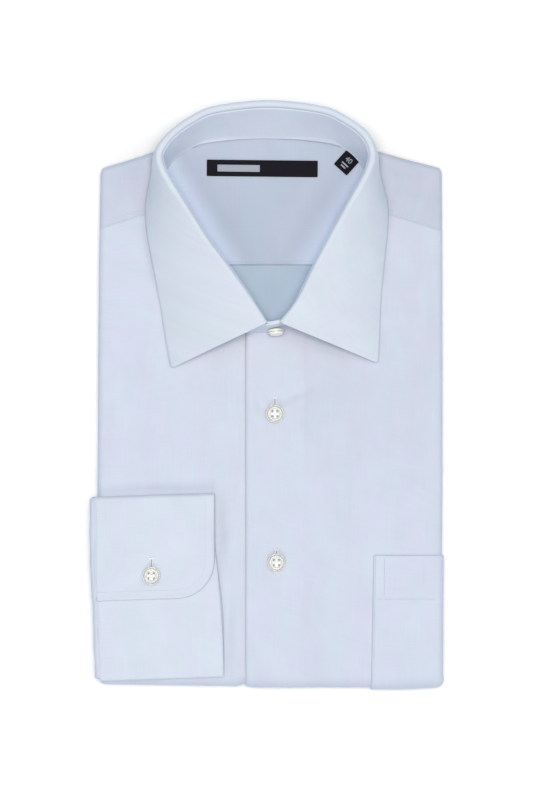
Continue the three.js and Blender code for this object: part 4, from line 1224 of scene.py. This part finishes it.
def tube(points, radius, sides=6):
    """A round thread along points, capped: vertices and faces."""
    p = np.asarray(points, float)
    d = unit(np.gradient(p, axis=0))
    up = UP if abs(d[0][2]) < 0.8 else np.array([1.0, 0, 0])
    verts = []
    for k in range(len(p)):
        s = unit(np.cross(d[k], up))
        n = np.cross(s, d[k])
        for m in range(sides):
            a = 2 * math.pi * m / sides
            verts.append(p[k] + radius * (math.cos(a) * s + math.sin(a) * n))
    faces = quads(len(p), sides, True)
    faces.append(tuple(range(sides))[::-1])
    faces.append(tuple((len(p) - 1) * sides + m for m in range(sides)))
    return verts, faces


def joined(name, parts, material, slot="shirting"):
    verts, faces = [], []
    for v, f in parts:
        base = len(verts)
        verts += list(v)
        faces += [tuple(base + i for i in face) for face in f]
    return dress(make_mesh(name, verts, faces), material, slot)


def button_threads():
    """Four doubled threads from hole to hole in a cross, over the dished middle."""
    parts = []
    h = BUTTON["hole_at"]
    for (x0, y0), (x1, y1) in (((-h, -h), (h, h)), ((-h, h), (h, -h))):
        for off in (-0.26, 0.26):
            path = []
            for s in np.arange(9) / 8:
                path.append((lerp(x0, x1, s) + off * (y1 - y0) / 4.1, lerp(y0, y1, s) - off * (x1 - x0) / 4.1,
                             0.9 + 1.15 * math.sin(math.pi * s) ** 0.45))
            parts.append(tube(path, 0.24))
    return parts


def add_button(name, matrix, pearl=PEARL):
    dress(place(button_mesh(name, pearl), matrix), None, "button", [name])
    place(joined(name + "_thread", button_threads(), PALE_THREAD, "button"), matrix)


def lying(x, y, z):
    return Matrix.Translation(Vector((x, y, z)) * MM)


for name, x, y in FRONT_BUTTONS:
    add_button(name, lying(x, y, float(top_at(x, y)) + SEAM + 0.2))
CUFF_TOP = float(cuff_bed(*CUFF_BUTTON)) + CUFF_CLOTH / 2 + 2 * CUFF["layer"]
add_button("button_cuff", lying(*CUFF_BUTTON, CUFF_TOP + SEAM + 0.1))
# The standing collar button takes the pearl with painted light.
standing = (lying(CENTRE_FRONT + 0.2, 40.2, 30.5) @ Matrix.Rotation(0.07, 4, "Z")
            @ Matrix.Rotation(1.40, 4, "X") @ Matrix.Diagonal((0.95, 0.95, 1.5, 1)))
add_button("button_collar", standing, LIT_PEARL)

# Sewing: rows of short stitches that lie on a surface
STITCH = dict(pitch=2.4, length=1.7, radius=0.13)


def stitch_row(points, lift=UP):
    """Stitches along a dense line of points; lift is the way up at each point."""
    p = np.asarray(points, float)
    lift = np.broadcast_to(np.asarray(lift, float), p.shape)
    total = lengths(p)
    parts = []
    for s in np.arange(STITCH["pitch"] * 0.4, total[-1] - STITCH["length"], STITCH["pitch"]):
        path = []
        for k in range(5):
            q = s + STITCH["length"] * k / 4
            bow = 0.9 * math.sin(math.pi * k / 4) - 0.55
            path.append(read(p, total, q) + read(lift, total, q) * (STITCH["radius"] * bow))
        parts.append(tube(path, STITCH["radius"]))
    return parts


def dense(a, b, n=60):
    s = np.linspace(0, 1, n)[:, None]
    return np.asarray(a, float) * (1 - s) + np.asarray(b, float) * s


def straight_row(a, b, above, n=60):
    """Stitches in a straight line, so far above the top face."""
    line = dense(a, b, n)
    return stitch_row(np.column_stack([line, top_at(line[:, 0], line[:, 1]) + above]))


# Along the yoke's front seams: one row on the wearer's left, two on the wearer's right
FROM_NECK, FROM_SIDE = 2.5, 5.0
sewing = []
for side, offsets in ((-1, (2.2, -2.0)), (1, (2.2,))):
    neck = neck_edge(side, NECK_AT_YOKE)
    for off in offsets:
        start = (neck[0] + side * FROM_NECK, neck[1] + off - YOKE_SLOPE * FROM_NECK)
        end_x = float(side_x(side, 105)) - side * FROM_SIDE
        sewing += straight_row(start, (end_x, neck[1] + off - YOKE_SLOPE * abs(end_x - neck[0])), 0.02)
joined("stitches_yoke", sewing, THREAD)

# Along the inner yoke's lower seam
line = inside(*dense((-40, YOKE_BOTTOM + 1.6), (44, YOKE_BOTTOM + 1.6), 90).T)
joined("stitches_back_yoke", stitch_row(line + UP * 0.02), SHADED_LINING_THREAD)

# Round the leaf, in from its free edge and front edges; the front rows start near the roll
LEAF_INSET = 6.0
LEAF_FRONT = 58.0
leaf_n = -grid_normals(leaf)


def leaf_surface(t, from_edge):
    """A point on the leaf's outer face, so far in from the free edge, and its way out."""
    i = int(min(max(np.searchsorted(LEAF_T, t) - 1, 0), leaf.shape[1] - 2))
    w = (t - LEAF_T[i]) / (LEAF_T[i + 1] - LEAF_T[i])
    column = (leaf[:, i] * (1 - w) + leaf[:, i + 1] * w)[::-1]
    normals = (leaf_n[:, i] * (1 - w) + leaf_n[:, i + 1] * w)[::-1]
    up = unit(read(normals, lengths(column), from_edge))
    return read(column, lengths(column), from_edge) + up * 0.6, up


def leaf_stitches(places):
    points = np.array([leaf_surface(*at) for at in places])
    return stitch_row(points[:, 0], points[:, 1])


def beside_front(end_t, sign, from_edge):
    """The place on the leaf that is as far in from a front edge as the stitches are."""
    guess = 0.004
    for _ in range(12):
        step = leaf_surface(end_t + sign * guess, from_edge)[0] - leaf_surface(end_t, from_edge)[0]
        guess *= min(max(LEAF_INSET / max(np.linalg.norm(step), 0.3), 0.6), 1.7)
        guess = min(guess, 0.12)
    return end_t + sign * guess, from_edge


sewing = leaf_stitches([(t, LEAF_INSET) for t in np.linspace(0.022, 0.978, 240)])
down = lerp(LEAF_FRONT, LEAF_INSET, np.linspace(0, 1, 60))
for end_t, sign in ((0.0, 1), (1.0, -1)):
    sewing += leaf_stitches([beside_front(end_t, sign, from_edge) for from_edge in down])
joined("stitches_leaf", sewing, THREAD)

# Cuff: round the tab, along the hand edge and beside the seam
CUFF_INSET = 5.2


def cuff_stitches(line):
    x, y = np.array(line, float).T
    y = y + cuff_slope(x)
    return stitch_row(np.stack([x, y, cuff_bed(x, y) + 2 * CUFF["layer"] + hand_lift(x) + CUFF_WALL], -1))


bend = CUFF["tab_radius"] - CUFF_INSET
cx, cy = CUFF["hand"] - CUFF["tab_radius"], CUFF["tab_end"] + CUFF["tab_radius"]
corner = [(cx + bend * math.sin(a), cy - bend * math.cos(a)) for a in np.linspace(0, math.pi / 2, 40)]
tab_line = np.concatenate([dense((-106.6, CUFF["tab_end"] + CUFF_INSET), corner[0]), corner[1:],
                           dense(corner[-1], (CUFF["hand"] - CUFF_INSET, -66.0))])
sewing = cuff_stitches(tab_line) + cuff_stitches(dense((-106.0, -68), (-106.0, -122)))
joined("stitches_cuff", sewing, THREAD)

# Pocket: down its side, and the hem's side and lower line
POCKET_TOP = CLOTH + SEAM + 0.36
sewing = straight_row((68.0, -101.4), (68.0 - 1.2, -168), POCKET_TOP)
sewing += straight_row((73.4, -101.4), (73.4, -127.6), POCKET_TOP, 40)
sewing += straight_row((68.5, -128.2), (105.5, -128.2), POCKET_TOP)
joined("stitches_pocket", sewing, THREAD)


def buttonhole(name, x, y0, y1, height):
    """A slit with close stitches along both sides and over both ends."""
    radius, pitch = 0.19, 0.42
    over = ((-0.7, 0.05), (0, 0.24), (0.7, 0.05))
    slit = [(x, y, float(height(x, y)) + 0.05) for y in np.linspace(y0, y1, 12)]
    sew = []
    for y in np.arange(y0, y1, pitch):
        z = float(height(x, y))
        for s in (-1, 1):
            across = [(x + s * 0.22, y, z + 0.1), (x + s * 0.6, y + 0.05, z + 0.18), (x + s * 1.05, y, z)]
            sew.append(tube(across, radius))
    for y in (y0 - 0.3, y1 + 0.3):
        z = float(height(x, y))
        for k in np.linspace(-1.1, 1.1, 7):
            sew.append(tube([(x + k, y + dy, z + dz) for dy, dz in over], radius))
    # The slit is a dark thread of painted shade.
    joined(name + "_slit", [tube(slit, 0.2, 8)], SLIT_SHADE)
    joined(name, sew, PALE_THREAD)


buttonhole("buttonhole_front_1", 5.0, -16.6, -2.6, top_at)
buttonhole("buttonhole_front_2", 6.0, -110.8, -97.6, top_at)
buttonhole("buttonhole_cuff", CUFF_BUTTON[0], -115.0, -102.8,
           lambda x, y: cuff_bed(x, y) + 2 * CUFF["layer"] + CUFF_WALL)


# The plain size mark and two short lines on the small tab
def tab_marks():
    curve = bpy.data.curves.new("size_mark", "FONT")
    curve.body = "40"
    curve.size = 4.6 * MM
    curve.align_x = curve.align_y = "CENTER"
    curve.extrude = 0.05 * MM
    holder = add_object("size_mark_text", curve)
    bpy.context.view_layer.update()
    mesh = baked(holder)
    bpy.data.objects.remove(holder)
    work = bmesh.new()
    work.from_mesh(mesh)
    bmesh.ops.remove_doubles(work, verts=work.verts, dist=1e-7)
    work.to_mesh(mesh)
    work.free()
    mark = add_object("size_mark", mesh)
    z = float(label_grid(SIZE_TAB, 12, 12)[6, 6, 2]) + 0.36
    place(mark, lying(SIZE_TAB["x"], SIZE_TAB["y"], z) @ Matrix.Rotation(SIZE_TAB["turn"], 4, "Z")
          @ Matrix.Translation((0, 0.0018, 0)))
    dress(mark, GREY_WEAVE, "label")
    for k, (shift, length) in enumerate(((-1.6, 5.0), (-3.4, 3.4))):
        grid = label_grid(SIZE_TAB, 10, 3, 0.34, (length, 0.8), (0, shift))
        dress(shell(f"size_line_{k + 1}", grid, 0.08, 0.08), GREY_WEAVE, "label")


tab_marks()

# Declared sheets: each states the cut of what shows of it
RESTS = ["folded_layers"]
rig.sheet(front_left, flat=(0.155, 0.66), held="folded", rests_on=RESTS, area=0.0875)
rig.sheet(front_right, flat=(0.145, 0.66), held="folded", rests_on=RESTS, area=0.0835)
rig.sheet(yoke_outer, flat=(0.26, 0.06), held="folded", rests_on=RESTS, area=0.0061)
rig.sheet(yoke_inner, flat=(0.132, 0.078), held="laid", rests_on=RESTS)
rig.sheet(back, flat=(0.088, 0.057), held="laid", rests_on=RESTS)
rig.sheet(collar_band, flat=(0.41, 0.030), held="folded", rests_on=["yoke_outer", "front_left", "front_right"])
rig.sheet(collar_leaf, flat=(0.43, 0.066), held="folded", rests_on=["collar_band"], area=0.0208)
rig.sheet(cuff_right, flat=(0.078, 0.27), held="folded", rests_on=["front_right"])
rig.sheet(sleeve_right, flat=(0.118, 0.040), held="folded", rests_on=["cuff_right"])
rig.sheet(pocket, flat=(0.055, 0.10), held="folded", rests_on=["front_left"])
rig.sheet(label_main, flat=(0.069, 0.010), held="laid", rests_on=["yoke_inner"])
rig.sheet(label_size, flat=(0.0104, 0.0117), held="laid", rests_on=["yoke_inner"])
for layer, size in plies:
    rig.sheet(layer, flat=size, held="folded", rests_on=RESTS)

# Floor and light
SKY = (0.38, 0.68, 1.0, 1)
SKY_STRENGTH = 0.42
LAMP_COLOUR = (1.0, 0.888, 0.770)
bpy.ops.mesh.primitive_plane_add(size=6.0, location=(0, 0, -0.0002))
floor = bpy.context.object
floor.name = "floor"
floor_look = Look("pale_floor")
grain = floor_look.node("TexNoise", {"Scale": 3.0}, "Fac")
pale = floor_look.mix(grain, (0.955, 0.955, 0.955), (0.97, 0.97, 0.97))
floor.data.materials.append(floor_look.surface({"Base Color": pale, "Roughness": 0.9}))
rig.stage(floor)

world = bpy.data.worlds.new("studio")
scene.world = world
world.use_nodes = True
background = world.node_tree.nodes["Background"].inputs
background["Color"].default_value = SKY
background["Strength"].default_value = SKY_STRENGTH
scene.view_settings.view_transform = "Standard"


def area_light(name, location, size, power):
    """A square lamp that faces the packet."""
    data = bpy.data.lights.new(name, "AREA")
    data.shape = "SQUARE"
    data.size = size
    data.energy = power
    data.color = LAMP_COLOUR
    lamp = add_object(name, data)
    lamp.location = location
    lamp.rotation_euler = (-Vector(location)).to_track_quat("-Z", "Y").to_euler()


area_light("overhead", (0, 0.1, 2.7), 0.9, 54.6)
area_light("key", (-0.1, -1.5, 1.3), 0.9, 8.4)
area_light("left", (-0.9, 0.4, 1.5), 0.7, 1.9)
area_light("right", (0.9, 0.5, 1.5), 0.7, 4.6)

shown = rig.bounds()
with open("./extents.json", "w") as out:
    json.dump({"cad": [list(c) for c in cad_box], "visual": [list(c) for c in shown]}, out)
